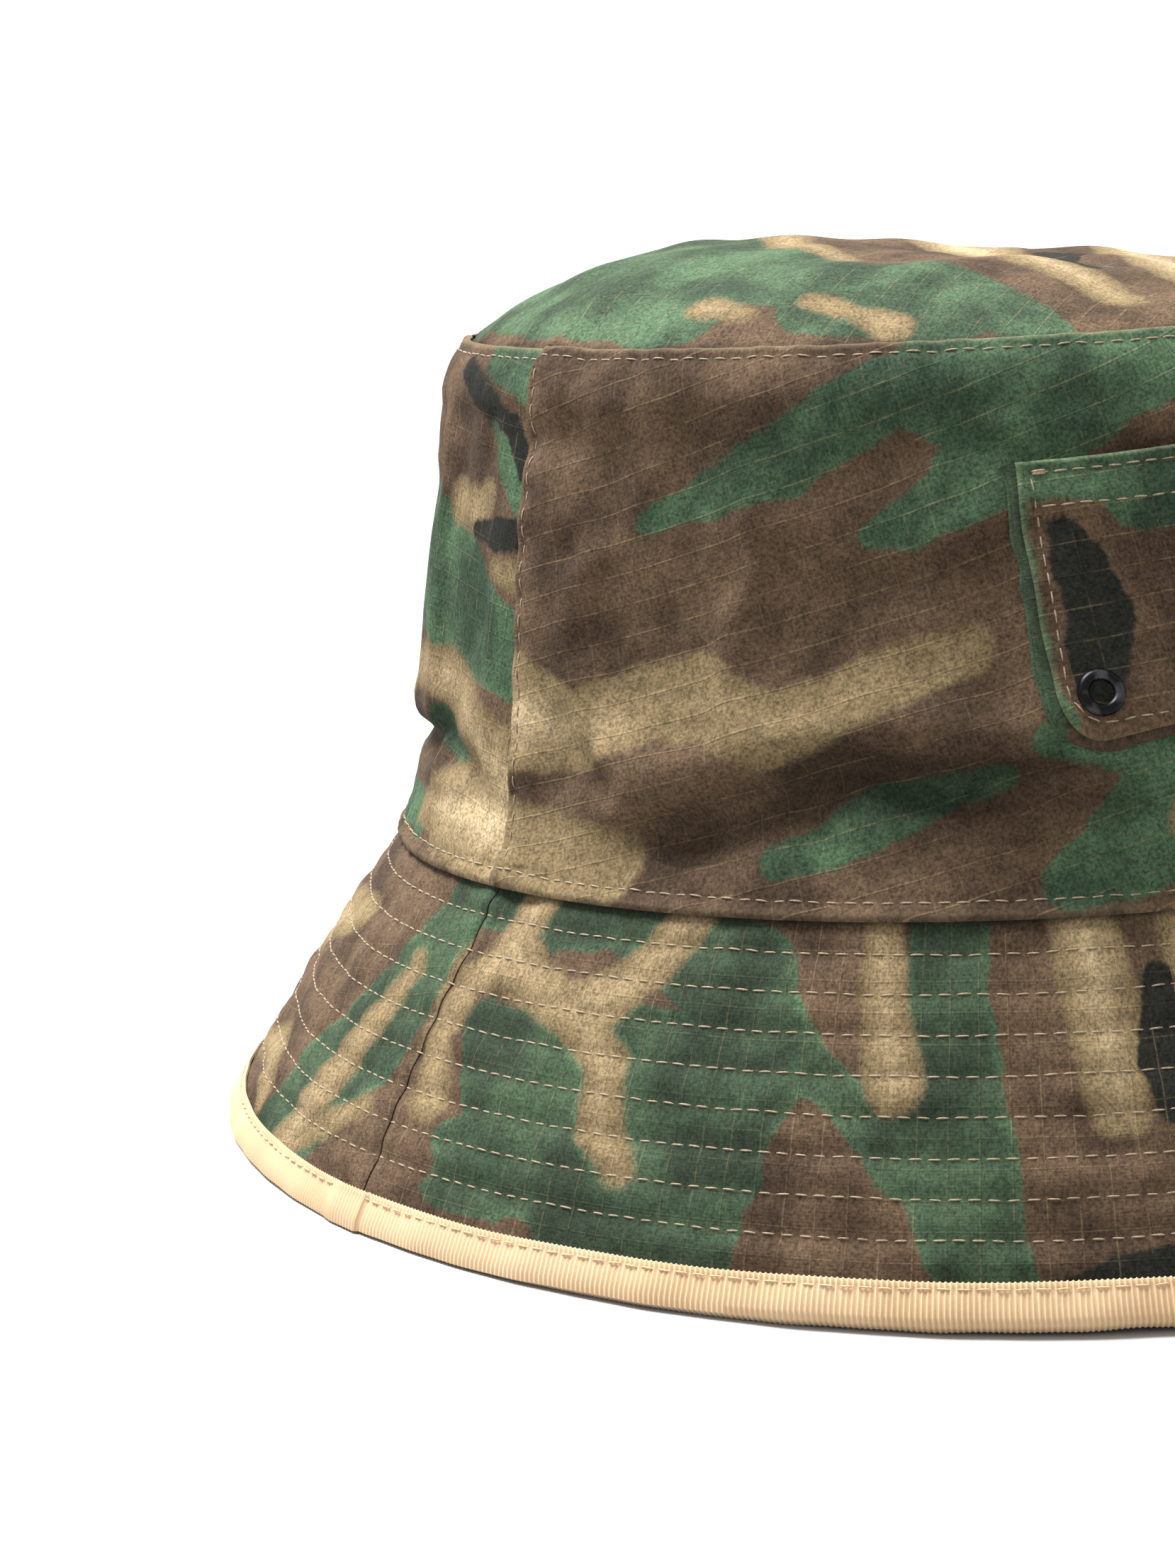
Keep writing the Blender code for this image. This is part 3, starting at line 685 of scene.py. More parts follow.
camouflage = {
    "brown": ("#372B21", "#514132"),     # each from its dark to its light tone
    "green": ("#293729", "#3F533D"),
    "khakiRim": "#62543C",
    "khaki": "#75654B",
    "khakiCore": "#9F8D6E",
    "black": "#1C1C18",
    "ripstopPitch": 0.0046,
    "threadPitch": 0.00052,              # drawn coarser than the real 0.3 mm so that the weave shows
    "speckleSize": 0.0006,
    "gridThread": "#93815F",             # the raised threads, where the ink has worn off them
    "rubbed": "#86775D",
    # dark colour for painted shade in grooves, creases and under laps, and for the brim's darker green ink
    "shadeAndDarkInk": "#1E1B16",
}
waveScale = 0.314                        # a wave texture of this scale has one band to the metre


def camouflageRipstop():
    # Washed cotton ripstop, screen printed: a matt, chalky, speckled surface with soft overlapping shapes
    # and a thin raised grid of doubled threads.
    material, shader = newMaterial("camouflage cotton ripstop", 0.9, Specular_IOR_Level=0.1)
    noise, combine, ramp, mix, finish = nodeTools(material, shader)
    cut = clothCut(material)

    def soft(value, low, high, toLow=0.0, toHigh=1.0):
        return ramp(value, low, high, toLow, toHigh, "SMOOTHSTEP")

    coarse, fine = noise(0.007, 3, rough=0.55), noise(0.0013, 2, rough=0.55)
    wobble = combine("ADD", soft(coarse, 0.25, 0.75, -0.0006, 0.0006),
                     soft(fine, 0.25, 0.75, -0.00015, 0.00015))
    tone = noise(0.016, 2, rough=0.55)
    speckle = combine("ADD", combine("MULTIPLY", noise(camouflage["speckleSize"], 3, cut, 0.75), 0.75),
                      combine("MULTIPLY", noise(3.0 * camouflage["speckleSize"], 2, rough=0.6), 0.25))

    ground = mix(soft(tone, 0.33, 0.68), *camouflage["brown"])
    greenInk = mix(soft(tone, 0.36, 0.66), *camouflage["green"])
    green, khaki, black = [combine("ADD", fieldValue(material, ink), wobble)
                           for ink in ("green", "khaki", "black")]
    khakiInk = mix(soft(khaki, 0.0002, 0.0030), camouflage["khakiRim"], camouflage["khaki"])
    khakiInk = mix(soft(khaki, 0.0024, 0.0090), khakiInk, camouflage["khakiCore"])
    khakiInk = mix(soft(tone, 0.35, 0.65, 0.25, 0.0), khakiInk, camouflage["khakiRim"])
    colour = mix(soft(green, -0.0005, 0.0006), ground, greenInk)
    colour = mix(soft(khaki, -0.0013, 0.0007), colour, khakiInk)
    colour = mix(soft(black, -0.0004, 0.0005), colour, camouflage["black"])

    # the doubled threads, stronger along the cloth than across it
    axes = addNode(material, "ShaderNodeSeparateXYZ", {}, {"Vector": cut}).outputs
    lines = []
    for axis, strength in (("X", 0.45), ("Y", 1.0)):
        cell = combine("MULTIPLY", axes[axis], 1 / camouflage["ripstopPitch"])
        lines.append(soft(combine("PINGPONG", cell, 0.5), 0.010, 0.042, strength, 0.0))
    grid = combine("MAXIMUM", *lines)
    broken = combine("MULTIPLY", grid, soft(noise(0.006, 2, rough=0.55), 0.35, 0.6))
    colour = mix(combine("MULTIPLY", broken, 0.17), colour, camouflage["gridThread"])

    colour = mix(1.0, colour, soft(speckle, 0.30, 0.70, 0.42, 1.62), "MULTIPLY")
    # pale where the field rises, which is rubbed wear on folded edges; dark where it falls, which is painted
    # shade in grooves, folds and under laps, and the brim's darker green ink
    wearAndShade = fieldValue(material, "wear_and_shade")
    colour = mix(soft(wearAndShade, 0.0, 1.0, 0.0, 0.35), colour, camouflage["rubbed"])
    colour = mix(soft(wearAndShade, -1.0, 0.0, 0.55, 0.0), colour, camouflage["shadeAndDarkInk"])
    material.node_tree.links.new(soft(speckle, 0.3, 0.7, 0.97, 0.82), shader.inputs["Roughness"])

    scale = waveScale / camouflage["threadPitch"]
    warp, weft = [joined(material, "ShaderNodeTexWave", "Fac", {"bands_direction": axis},
                         {"Scale": scale, "Vector": cut}) for axis in ("X", "Y")]
    weave = combine("MULTIPLY", combine("MULTIPLY", warp, weft), 0.25)
    return finish(colour, combine("ADD", weave, combine("ADD", grid, speckle)), 0.55, 0.00012)


def twillCloth(name, dark, light, roughness, pitch, relief):
    # Cotton twill: fine diagonal ribs, with painted shade in their valleys, over a slightly uneven dye.
    material, shader = newMaterial(name, roughness, Specular_IOR_Level=0.25, Sheen_Weight=0.1)
    noise, combine, ramp, mix, finish = nodeTools(material, shader)
    turned = joined(material, "ShaderNodeMapping", 0, {},
                    {"Rotation": (0.0, 0.0, 1.1), "Vector": clothCut(material)})
    ribs = joined(material, "ShaderNodeTexWave", "Fac", {},
                  {"Scale": waveScale / pitch, "Distortion": 1.5, "Detail Scale": 3.0, "Vector": turned})
    # painted shade in the ribs' valleys, together with the uneven dye
    colour = mix(combine("MULTIPLY", ribs, noise(1 / 260, 4.0)), dark, light)
    return finish(colour, ribs, 0.6, relief)


def fibreMaterial(name, dark, light, roughness, size, relief, **sockets):
    # Yarn or felted fibre: uneven tone and a soft fuzz of relief at the fibre's size.
    material, shader = newMaterial(name, roughness, **sockets)
    noise, combine, ramp, mix, finish = nodeTools(material, shader)
    fibre = noise(size, 3.0)
    return finish(mix(ramp(fibre, 0.3, 0.7), dark, light), fibre, 0.5, relief)


def blackenedBrass():
    # Brass with a baked black finish: a satin, nearly black metal, rubbed a little brighter in spots.
    material, shader = newMaterial("blackened brass", 0.34, Metallic=1.0)
    noise, combine, ramp, mix, finish = nodeTools(material, shader)
    rub = noise(1 / 380, 2.0)
    material.node_tree.links.new(ramp(rub, 0.3, 0.7, 0.28, 0.5), shader.inputs["Roughness"])
    return finish(mix(ramp(rub, 0.45, 0.75), "#1C1C1D", "#4A4A4C"), rub, 0.1, 0.00001)


def grosgrainTape():
    # Ribbed cotton and rayon tape: close cross ribs with a faint sheen, peach cream, with painted shade
    # between the ribs.
    material, shader = newMaterial("peach grosgrain tape", 0.72, Specular_IOR_Level=0.3, Sheen_Weight=0.2)
    noise, combine, ramp, mix, finish = nodeTools(material, shader)
    # painted shade: darker in the valleys between the ribs
    colour = mix(ramp(fieldValue(material, "rib"), -1.0, 0.6), "#A0805C", "#C4A681")
    colour = mix(ramp(noise(1 / 55, 2.0), 0.4, 0.7, 0.0, 0.4), colour, "#CFB492")
    return finish(colour, noise(1 / 1500, 3.0), 0.5, 0.00005)


# Stitches

stitching = {
    "pitch": 0.0029,
    "length": 0.0023,
    "radius": 0.00015,
    "dip": 0.00024,       # the ends go down into the cloth
}


def stitchShape():
    # One stitch lying along X: a thread that arches out of the cloth and back in.
    bpy.ops.object.select_all(action="DESELECT")
    bpy.ops.mesh.primitive_uv_sphere_add(segments=6, ring_count=5, radius=1.0, rotation=(0, math.pi / 2, 0))
    seed = bpy.context.object
    bpy.ops.object.transform_apply(location=False, rotation=True, scale=False)
    points = np.array([vertex.co[:] for vertex in seed.data.vertices])
    faces = [list(face.vertices) for face in seed.data.polygons]
    bpy.data.objects.remove(seed, do_unlink=True)
    points[:, 0] = np.sign(points[:, 0]) * np.abs(points[:, 0]) ** 0.75
    return points, faces


stitchPoints, stitchFaces = stitchShape()


def sewRow(name, material, slot, node, runs, seed, pitch=None, length=None, radius=None):
    # runs are (points, normals, closed); all their stitches are one piece.
    rng = np.random.RandomState(seed)
    pitch, length = pitch or stitching["pitch"], length or stitching["length"]
    radius = radius or stitching["radius"]
    verts, faces = [], []
    for points, normals, closed in runs:
        steps = np.linalg.norm(np.diff(points, axis=0), axis=1)
        reach = np.concatenate([[0.0], np.cumsum(steps)])
        count = max(int(round(reach[-1] / pitch)), 1)
        for k in range(count):
            middle = reach[-1] * (k + 0.5) / count
            ends = []
            for t in (middle - 0.3 * pitch, middle, middle + 0.3 * pitch):
                ends.append(np.array([np.interp(t, reach, points[:, axis]) for axis in range(3)]))
            out = np.array([np.interp(middle, reach, normals[:, axis]) for axis in range(3)])
            out /= np.linalg.norm(out)
            ahead = ends[2] - ends[0]
            ahead /= np.linalg.norm(ahead)
            side = np.cross(out, ahead)
            yaw = rng.uniform(-0.07, 0.07)
            straight = ahead
            ahead = straight * math.cos(yaw) + side * math.sin(yaw)
            side = side * math.cos(yaw) - straight * math.sin(yaw)
            half = 0.5 * length * reach[-1] / count / pitch * rng.uniform(0.94, 1.04)
            shift = rng.uniform(-0.00005, 0.00005)
            local = stitchPoints * (half, radius, radius)
            rise = radius * 0.75 - stitching["dip"] * np.abs(stitchPoints[:, 0]) ** 4 + local[:, 2]
            base = len(verts) * len(stitchPoints)
            level = np.outer(local[:, 0], ahead) + np.outer(local[:, 1] + shift, side)
            verts.append(ends[1] + level + np.outer(rise, out))
            faces += [[base + i for i in face] for face in stitchFaces]
    mesh = bpy.data.meshes.new(name)
    mesh.from_pydata(np.concatenate(verts).tolist(), [], faces)
    mesh.shade_smooth()
    row = bpy.data.objects.new(name, mesh)
    bpy.context.scene.collection.objects.link(row)
    finishPiece(row, material, slot, node)


def runOn(surface, us, vs, out, flip=1.0):
    # A run of thread on a surface, out from it by out, which may differ along the run.
    us, vs = np.broadcast_arrays(np.asarray(us, float), np.asarray(vs, float))
    normals = surfaceNormal(surface, us, vs) * flip
    return surface(us, vs) + normals * np.broadcast_to(out, us.shape)[:, None], normals


# Crown

crown = {
    "foldBand": 0.008,        # turned-in allowance that shows as a ridge along each seam
    "sideLap": 0.0009,        # the front panel lies over the back one at the side seams
    "edgeRound": 0.0007,
    "pucker": 0.00026,
    "sideStitchIn": 0.0016,
    "topHem": 0.00045,        # how much the turned-in cloth thickens the panel at its top and its base
    "baseHem": 0.00055,
    "stitchDent": 0.00030,
    "frontGrain": 15.0,       # degrees that the cloth's threads are turned
    "backGrain": 82.0,
}
pocket = {
    "width": 0.087,
    "height": 0.039,
    "centreHeight": 0.0466,
    "tilt": 3.0,              # degrees
    "corner": 0.0065,
    "faceStand": 0.0033,      # outer face over the crown's cloth
    "stitchIn": 0.0018,
    "hemRows": (0.0018, 0.0068),
    "eyeletIn": (0.0058, 0.0052),
}


def pocketToCrown(u, v):
    tilt = math.radians(pocket["tilt"])
    across = u * math.cos(tilt) - v * math.sin(tilt)
    h = u * math.sin(tilt) + v * math.cos(tilt) + pocket["centreHeight"]
    middle = halfWidth + float(wallRadius(pocket["centreHeight"]))
    return 0.5 * crownEnd + across / middle * crownArc, h


def insidePocket(s, h, margin):
    middle = halfWidth + float(wallRadius(pocket["centreHeight"]))
    tilt = math.radians(pocket["tilt"])
    across, up = (s - 0.5 * crownEnd) / crownArc * middle, h - pocket["centreHeight"]
    u = across * math.cos(tilt) + up * math.sin(tilt)
    v = up * math.cos(tilt) - across * math.sin(tilt)
    return np.minimum(pocket["width"] / 2 + margin - np.abs(u), pocket["height"] / 2 + margin - np.abs(v))


def panelRelief(s, h, side):
    # How far the cloth stands out at its seams; side is 1 for the front panel, over, and -1 for the back one.
    toSeam = np.minimum(np.abs(s), np.abs(crownEnd - np.abs(s)))
    toTop, toBase = crownHeight - h, h
    relief = np.zeros(len(s))
    if side > 0:
        relief += crown["sideLap"] * (1 - smooth((toSeam - 0.006) / 0.007))
        relief -= 0.0008 * np.clip(1 - toSeam / crown["edgeRound"], 0, 1) ** 2
    else:
        relief -= 0.0003 * (1 - smooth(toSeam / 0.004))
    band = crown["foldBand"]
    relief += crown["topHem"] * (1 - smooth((toTop - band) / 0.003))
    relief += crown["baseHem"] * (1 - smooth((toBase - band) / 0.003))
    relief -= 0.0009 * np.clip(1 - toTop / crown["edgeRound"], 0, 1) ** 2
    relief -= 0.0005 * np.clip(1 - toBase / crown["edgeRound"], 0, 1) ** 2
    rows = [toTop - form["tipStitchDown"], toBase - form["baseStitchUp"]]
    if side > 0:
        rows.append(toSeam - crown["sideStitchIn"])
    for number, (row, along) in enumerate(zip(rows, (s, s, h))):
        relief -= crown["stitchDent"] * ridge(row, 0.0007)
        pulled = ripple(along, row * 0.35, 0.0062, 30 + number) * np.exp(-np.abs(row) / 0.0045)
        relief += crown["pucker"] * pulled
    return relief


def panelWearAndShade(s, h, side):
    # Rubbed pale on folded edges, which is wear; painted shade dark in the tip stitch row's groove, under the
    # front panel's lap at the side seams and in the creases of the folds.
    toSeam = np.minimum(np.abs(s), np.abs(crownEnd - np.abs(s)))
    toTop = crownHeight - h
    wear_and_shade = 0.75 * ridge(toTop, 0.0009) + 0.35 * ridge(h - 0.0006, 0.0008)
    if side > 0:
        wear_and_shade += 0.65 * ridge(toSeam, 0.0009)
    # painted shade under the front panel's lapped edge
    else:
        wear_and_shade -= 0.6 * ridge(toSeam, 0.0010)
    wear_and_shade -= 0.4 * ridge(toTop - form["tipStitchDown"], 0.0005)
    # painted shade in the creases below the folds' lines
    wear_and_shade -= 0.5 * np.clip(-foldRelief(s, h) / 0.0022, 0, 1)
    return wear_and_shade


def makeCrownPanel(name, side, pattern, material, node):
    sFrom, sTo = (-0.0002, crownEnd + 0.0002) if side > 0 else (-crownEnd + 0.0003, -0.0003)
    us = denseEnds(sFrom, sTo, 0.00035, 0.0012)
    vs = denseEnds(0.0, crownHeight, 0.00035, 0.0012)
    sheet, s, h = newSheet(name, us, vs)

    def held(u, v):
        return insidePocket(u, v, 0.003) > 0 if side > 0 else np.zeros(len(u), bool)

    sewn = 0.0085
    limits = (sFrom + sewn, sTo - sewn, sewn, crownHeight - sewn)
    grid = settleSlack(crownSurface, *limits, held)
    sag = readSlack(grid, s, h, *limits)
    outside = np.maximum(np.maximum(limits[0] - s, s - limits[1]), np.maximum(limits[2] - h, h - limits[3]))
    sag *= (1 - smooth(outside / 0.004))[:, None]
    normal = surfaceNormal(crownSurface, s, h)
    movePoints(sheet, crownSurface(s, h) + normal * panelRelief(s, h, side)[:, None] + sag)
    setCut(sheet, s, h, crown["frontGrain"] if side > 0 else crown["backGrain"])
    printCloth(sheet, pattern, s, h)
    setField(sheet, "wear_and_shade", panelWearAndShade(s, h, side))
    thicken(sheet, cloth)
    finishPiece(sheet, material, "ripstop", node)
    print(name, "made")


def discGrid(name, count, reach):
    # A square of cloth pressed into a disc, so that it has no pole. Gives the object and the unit places.
    ticks = np.linspace(-1.0, 1.0, count)
    sheet, a, b = newSheet(name, ticks, ticks)
    return sheet, reach * a * np.sqrt(1 - b ** 2 / 2), reach * b * np.sqrt(1 - a ** 2 / 2)


def makeTip(material):
    sheet, p, q = discGrid("crown_tip_cloth", 131, 1.04)
    rho, angle = np.hypot(p, q), np.arctan2(q, p)
    toSeam, around = (1 - rho) * tipReach, angle * tipReach
    relief = 0.0005 * ripple(around, toSeam * 0.3, 0.0085, 41) * np.exp(-np.abs(toSeam) / 0.007)
    relief += 0.0004 * ripple(p * 0.075, q * 0.082, 0.022, 42) * smooth(toSeam / 0.012)
    relief[rho > 1] = 0
    normal = surfaceNormal(tipSurface, p, q, 0.004)
    movePoints(sheet, tipSurface(p, q) + normal * relief[:, None])
    x, y = p * tipHalf[0], q * tipHalf[1]
    setCut(sheet, x, y, 28.0)
    printCloth(sheet, tipPrint, x, y)
    # painted shadow along the tip's seam, under the side's folded edge; the rest of the tip a little rubbed
    # pale
    setField(sheet, "wear_and_shade", 0.12 - 0.8 * ridge(np.clip(toSeam, 0, None), 0.0016))
    thicken(sheet, cloth)
    finishPiece(sheet, material, "ripstop", "crown_tip")
    print("tip made")


def makeCrownStitches(thread):
    s = np.linspace(-crownEnd, crownEnd, 1500)
    for seam, h, seed in (("tip", crownHeight - form["tipStitchDown"], 1), ("base", form["baseStitchUp"], 2)):
        level = np.full(len(s), h)
        relief = np.where(s > 0, panelRelief(s, level, 1), panelRelief(s, level, -1))
        run = (*runOn(crownSurface, s, h, relief), True)
        sewRow(f"{seam}_seam_stitches", thread, "thread", f"{seam}_seam_topstitch", [run], seed)
    h = np.linspace(0.0035, crownHeight - 0.0035, 160)
    inset = crown["sideStitchIn"]
    for side, at, seed in (("right", inset, 3), ("left", crownEnd - inset, 4)):
        run = (*runOn(crownSurface, at, h, panelRelief(np.full(len(h), at), h, 1)), False)
        sewRow(f"side_seam_stitches_{side}", thread, "thread", f"side_seam_topstitch_{side}", [run], seed)
    print("crown stitched")


# Brim

brim = {
    "rows": 8,
    "firstRow": 0.0050,
    "bindingWidth": 0.0070,
    "puff": 0.00026,          # how far the cloth stands out between two rows
    "rowDent": 0.00014,
    "pucker": 0.00016,
    "frontGrain": 90.0,
    "backGrain": 78.0,
    "thickness": 0.0026,
    "stiffenerDepth": 0.0009, # of each lower layer's outer face below the top cloth's
    "underDepth": 0.0020,
}
rowPitch = (brimLength - brim["bindingWidth"] - brim["firstRow"]) / brim["rows"]
rowPlaces = [brim["firstRow"] + rowPitch * row for row in range(brim["rows"])]


def quilting(s, d, seed):
    # Puffed between the rows, dented along them and drawn into small puckers by the stitches.
    relief = np.zeros(len(s))
    nearest = np.min([np.abs(d - row) for row in rowPlaces], axis=0)
    sewn = smooth((d - 0.001) / 0.003) * smooth((brimLength - brim["bindingWidth"] - d) / 0.003)
    relief += brim["puff"] * smooth(nearest / (0.5 * rowPitch)) * sewn
    relief -= brim["rowDent"] * ridge(nearest, 0.0006)
    drawn = ripple(s * (0.8 + 3 * d), d * 0.5, 0.0058, seed) * np.exp(-nearest / 0.0028)
    relief += brim["pucker"] * drawn * sewn
    relief += 0.00030 * ripple(s, d, 0.016, seed + 1) * sewn
    return relief


def makeBrimCloth(name, node, half, depth, thickness, pattern, material, slot, flip):
    # half is 1 for the front, -1 for the back. flip turns the under cloth's face down.
    sFrom, sTo = (0.0002, brimEnd - 0.0002) if half > 0 else (-brimEnd + 0.0002, -0.0002)
    fine = slot == "ripstop"
    us = denseEnds(sFrom, sTo, 0.0004, 0.00125 if fine else 0.003)
    down = denseEnds(0.0, brimLength - 0.0012, 0.0005, 0.00085 if fine else 0.002, 0.002)
    vs = np.concatenate([np.linspace(-0.007, 0.0, 4)[:-1], down])
    sheet, s, d = newSheet(name, us, vs)
    normal = -surfaceNormal(brimSurface, s, np.where(np.abs(d) < 0.0006, 0.0009, d))
    toSeam = np.minimum(np.abs(s), np.abs(brimEnd - np.abs(s)))
    level = -depth
    if fine:
        seed, share = (50, 1.0) if flip > 0 else (60, 0.5)
        level = level + flip * quilting(s, np.clip(d, 0, None), seed) * share
        level = level - flip * 0.00018 * ridge(toSeam, 0.0008)
        level = level + flip * 0.0002 * ridge(toSeam - 0.002, 0.0012)
    if flip < 0:
        level = level - thickness
    level = np.broadcast_to(level, s.shape)
    movePoints(sheet, brimSurface(s, d) + normal * level[:, None])
    if flip > 0:
        # the grid's own normal points into the hat on the brim, because d runs down
        sheet.data.flip_normals()
    setCut(sheet, s, d, brim["frontGrain"] if half > 0 else brim["backGrain"])
    if fine:
        inked = printCloth(sheet, pattern, s, d)
        nearest = np.min([np.abs(d - row) for row in rowPlaces], axis=0)
        # painted shade along the stitch rows, in the side seams and under the crown's lapped edge at the
        # brim's top; rubbed pale beside the side seams
        wear_and_shade = -0.12 * ridge(nearest, 0.0005) - 0.25 * ridge(toSeam, 0.0005)
        wear_and_shade = wear_and_shade - 0.8 * ridge(np.clip(d, 0, None), 0.0009)
        wear_and_shade = wear_and_shade + 0.25 * ridge(toSeam - 0.0018, 0.0008)
        # the brim's green ink lies thicker than the crown's
        setField(sheet, "wear_and_shade", wear_and_shade - 0.6 * smooth(inked / 0.0016))
    thicken(sheet, thickness)
    finishPiece(sheet, material, slot, node)
    print(name, "made")


def makeBrimStitches(thread):
    s = np.linspace(-brimEnd, brimEnd, 2400)
    for number, d in enumerate(rowPlaces):
        row = np.full(len(s), d)
        points, normals = runOn(brimSurface, s, row, quilting(s, row, 50), -1.0)
        below = -brim["thickness"] - 0.5 * quilting(s, row, 60)
        lower, lowerNormals = runOn(brimSurface, s, row, below, -1.0)
        sewRow(f"brim_stitches_{number + 1}", thread, "thread", f"brim_stitch_row_{number + 1}",
               [(points, normals, True), (lower, -lowerNormals, True)], 10 + number)
    print("brim stitched")


# Grosgrain binding

binding = {
    "ribPitch": 0.00078,
    "ribDepth": 0.00011,
    "tape": 0.0006,
    "stand": 0.0008,           # how far the tape's face stands off the brim's
    "joinAt": 0.0025,          # where the tape's lapped end lies, just past the side seam
    "lapLength": 0.010,
    "stitchIn": 0.0012,
}


def bindingSection(t):
    # t goes from 0 at the outer upper edge, round the brim's edge, to 1 at the inner upper edge.
    # Gives how far down the brim and how far out of its outer face the tape's surface is.
    outer, inner = binding["stand"], -brim["thickness"] - binding["stand"]
    radius = 0.5 * (outer - inner)
    flat = brim["bindingWidth"] - radius * 0.6
    nose = math.pi * radius * 0.8
    total = 2 * flat + nose
    t = np.asarray(t) * total
    turn = np.clip((t - flat) / nose, 0, 1) * math.pi
    down = brimLength - brim["bindingWidth"] + np.minimum(t, flat) - np.clip(t - flat - nose, 0, None)
    down = down + 0.62 * radius * np.sin(turn)
    out = outer - radius * (1 - np.cos(turn))
    return down, out


def makeBinding(material):
    ribs = int(round(2 * brimEnd * 1.03 / binding["ribPitch"]))
    us = np.linspace(-brimEnd, brimEnd, 3 * ribs + 1)
    ts = np.concatenate([[0.0, 0.015, 0.05], np.linspace(0.12, 0.88, 9), [0.95, 0.985, 1.0]])
    sheet, s, t = newSheet("brim_binding_tape", us, ts)
    down, out = bindingSection(t)
    rib = np.cos(2 * math.pi * (s + brimEnd) / (2 * brimEnd) * ribs)
    fromEdge = np.minimum(t, 1 - t)
    gone = s - binding["joinAt"]
    lap = np.where(gone < 0, smooth((gone + binding["lapLength"]) / 0.004), 0.0)
    down = down + 0.00013 * rib * (1 - smooth(fromEdge / 0.03)) * np.where(t < 0.5, -1, 1)
    swell = binding["ribDepth"] * rib + 0.00055 * lap + 0.00012 * ripple(s, t * 0.02, 0.012, 71)
    swell = swell - 0.00030 * ridge(t - 0.065, 0.02) - 0.0002 * (1 - smooth(fromEdge / 0.02))
    wander = 0.00025 * ripple(s, 0.0, 0.03, 72)
    points = brimSurface(s, np.minimum(down + wander, brimLength + 0.004))
    normal = -surfaceNormal(brimSurface, s, np.full(len(s), brimLength - 0.004))
    ahead = brimSurface(s, brimLength - 0.004) - brimSurface(s, brimLength - 0.006)
    ahead /= np.linalg.norm(ahead, axis=1, keepdims=True)
    turn = np.clip((t - 0.35) / 0.3, 0, 1)[:, None] * math.pi
    outward = normal * np.cos(turn) + ahead * np.sin(turn)
    points = points + normal * out[:, None] + outward * swell[:, None]
    points[:, 2] = np.maximum(points[:, 2], 0.00012 - 0.00008 * rib)
    movePoints(sheet, points)
    setCut(sheet, s, t * 0.017, 0.0)
    setField(sheet, "rib", rib)
    closeSeam(sheet)
    sheet.data.flip_normals()
    thicken(sheet, binding["tape"] * 0.8)
    finishPiece(sheet, material, "grosgrain", "brim_edge_binding")
    print("binding made")


def makeBindingStitches(thread):
    s = np.linspace(-brimEnd, brimEnd, 1200)
    d = brimLength - brim["bindingWidth"] + binding["stitchIn"]
    points, normals = runOn(brimSurface, s, d, binding["stand"], -1.0)
    lower, lowerNormals = runOn(brimSurface, s, d, -brim["thickness"] - binding["stand"], -1.0)
    sewRow("binding_stitches", thread, "binding_thread", "binding_topstitch",
           [(points, normals, True), (lower, -lowerNormals, True)], 19, radius=0.00016)


# Pocket

def pocketSurface(u, v):
    return crownSurface(*pocketToCrown(u, v))


def pocketPoint(u, v, stand):
    u, v = np.broadcast_arrays(np.asarray(u, float), np.asarray(v, float))
    normal = surfaceNormal(pocketSurface, u, v)
    return pocketSurface(u, v) + normal * np.broadcast_to(stand, u.shape)[..., None]


def faceStand(u, v):
    # How far the pocket's face stands off the crown: thicker hems, dented along its stitches.
    wide, high = pocket["width"] / 2, pocket["height"] / 2
    toSide, toTop = np.minimum(wide - np.abs(u), v + high), high - v
    toEdge = np.minimum(toSide, toTop)
    stand = pocket["faceStand"] + (0.0006 + 0.0004 * ripple(u, v, 0.02, 81)) * smooth(toEdge / 0.010)
    stand = stand + 0.00035 * (1 - smooth((toSide - 0.006) / 0.002))
    stand = stand + 0.0004 * (1 - smooth((toTop - 0.0075) / 0.001))
    rows = [toSide - pocket["stitchIn"]] + [toTop - row for row in pocket["hemRows"]]
    for number, row in enumerate(rows):
        along = v + u if number == 0 else u
        stand = stand - 0.00022 * ridge(row, 0.0005)
        stand = stand + 0.00014 * ripple(along, row, 0.0055, 82 + number) * np.exp(-np.abs(row) / 0.003)
    return stand, toEdge, rows


def makePocketFace(material):
    wide, high = pocket["width"] / 2, pocket["height"] / 2
    us = denseEnds(-wide, wide, 0.00025, 0.0009, 0.003)
    vs = denseEnds(-high, high, 0.00025, 0.0008, 0.003)
    sheet, u, v = newSheet("pocket_face_cloth", us, vs)
    # the two lower corners are turned in round
    r = pocket["corner"]
    cu, cv = wide - r, -high + r
    low = (np.abs(u) > cu) & (v < cv)
    du, dv = np.abs(u) - cu, cv - v
    far = np.maximum(np.hypot(du, dv), 1e-9)
    shrink = np.where(low, np.maximum(du, dv) / far, 1.0)
    pu = np.where(low, np.sign(u) * (cu + du * shrink), u)
    pv = np.where(low, cv - dv * shrink, v)
    pu = pu + 0.0004 * ripple(pv, 0.0, 0.02, 80) * smooth((np.abs(pu) - wide + 0.004) / 0.004)
    stand, toEdge, rows = faceStand(u, v)
    stand = stand - 0.0007 * np.clip(1 - toEdge / 0.0006, 0, 1) ** 2
    movePoints(sheet, pocketPoint(pu, pv, stand))
    setCut(sheet, u, v, 3.0)
    printCloth(sheet, pocketPrint, u, v)
    # rubbed pale on the face's folded edge; painted shade along the stitch rows
    wear_and_shade = 0.4 * ridge(toEdge, 0.0006)
    for row in rows:
        wear_and_shade = wear_and_shade - 0.35 * ridge(row, 0.0004)
    setField(sheet, "wear_and_shade", wear_and_shade)
    thicken(sheet, 0.0009)
    finishPiece(sheet, material, "ripstop", "pocket_face")


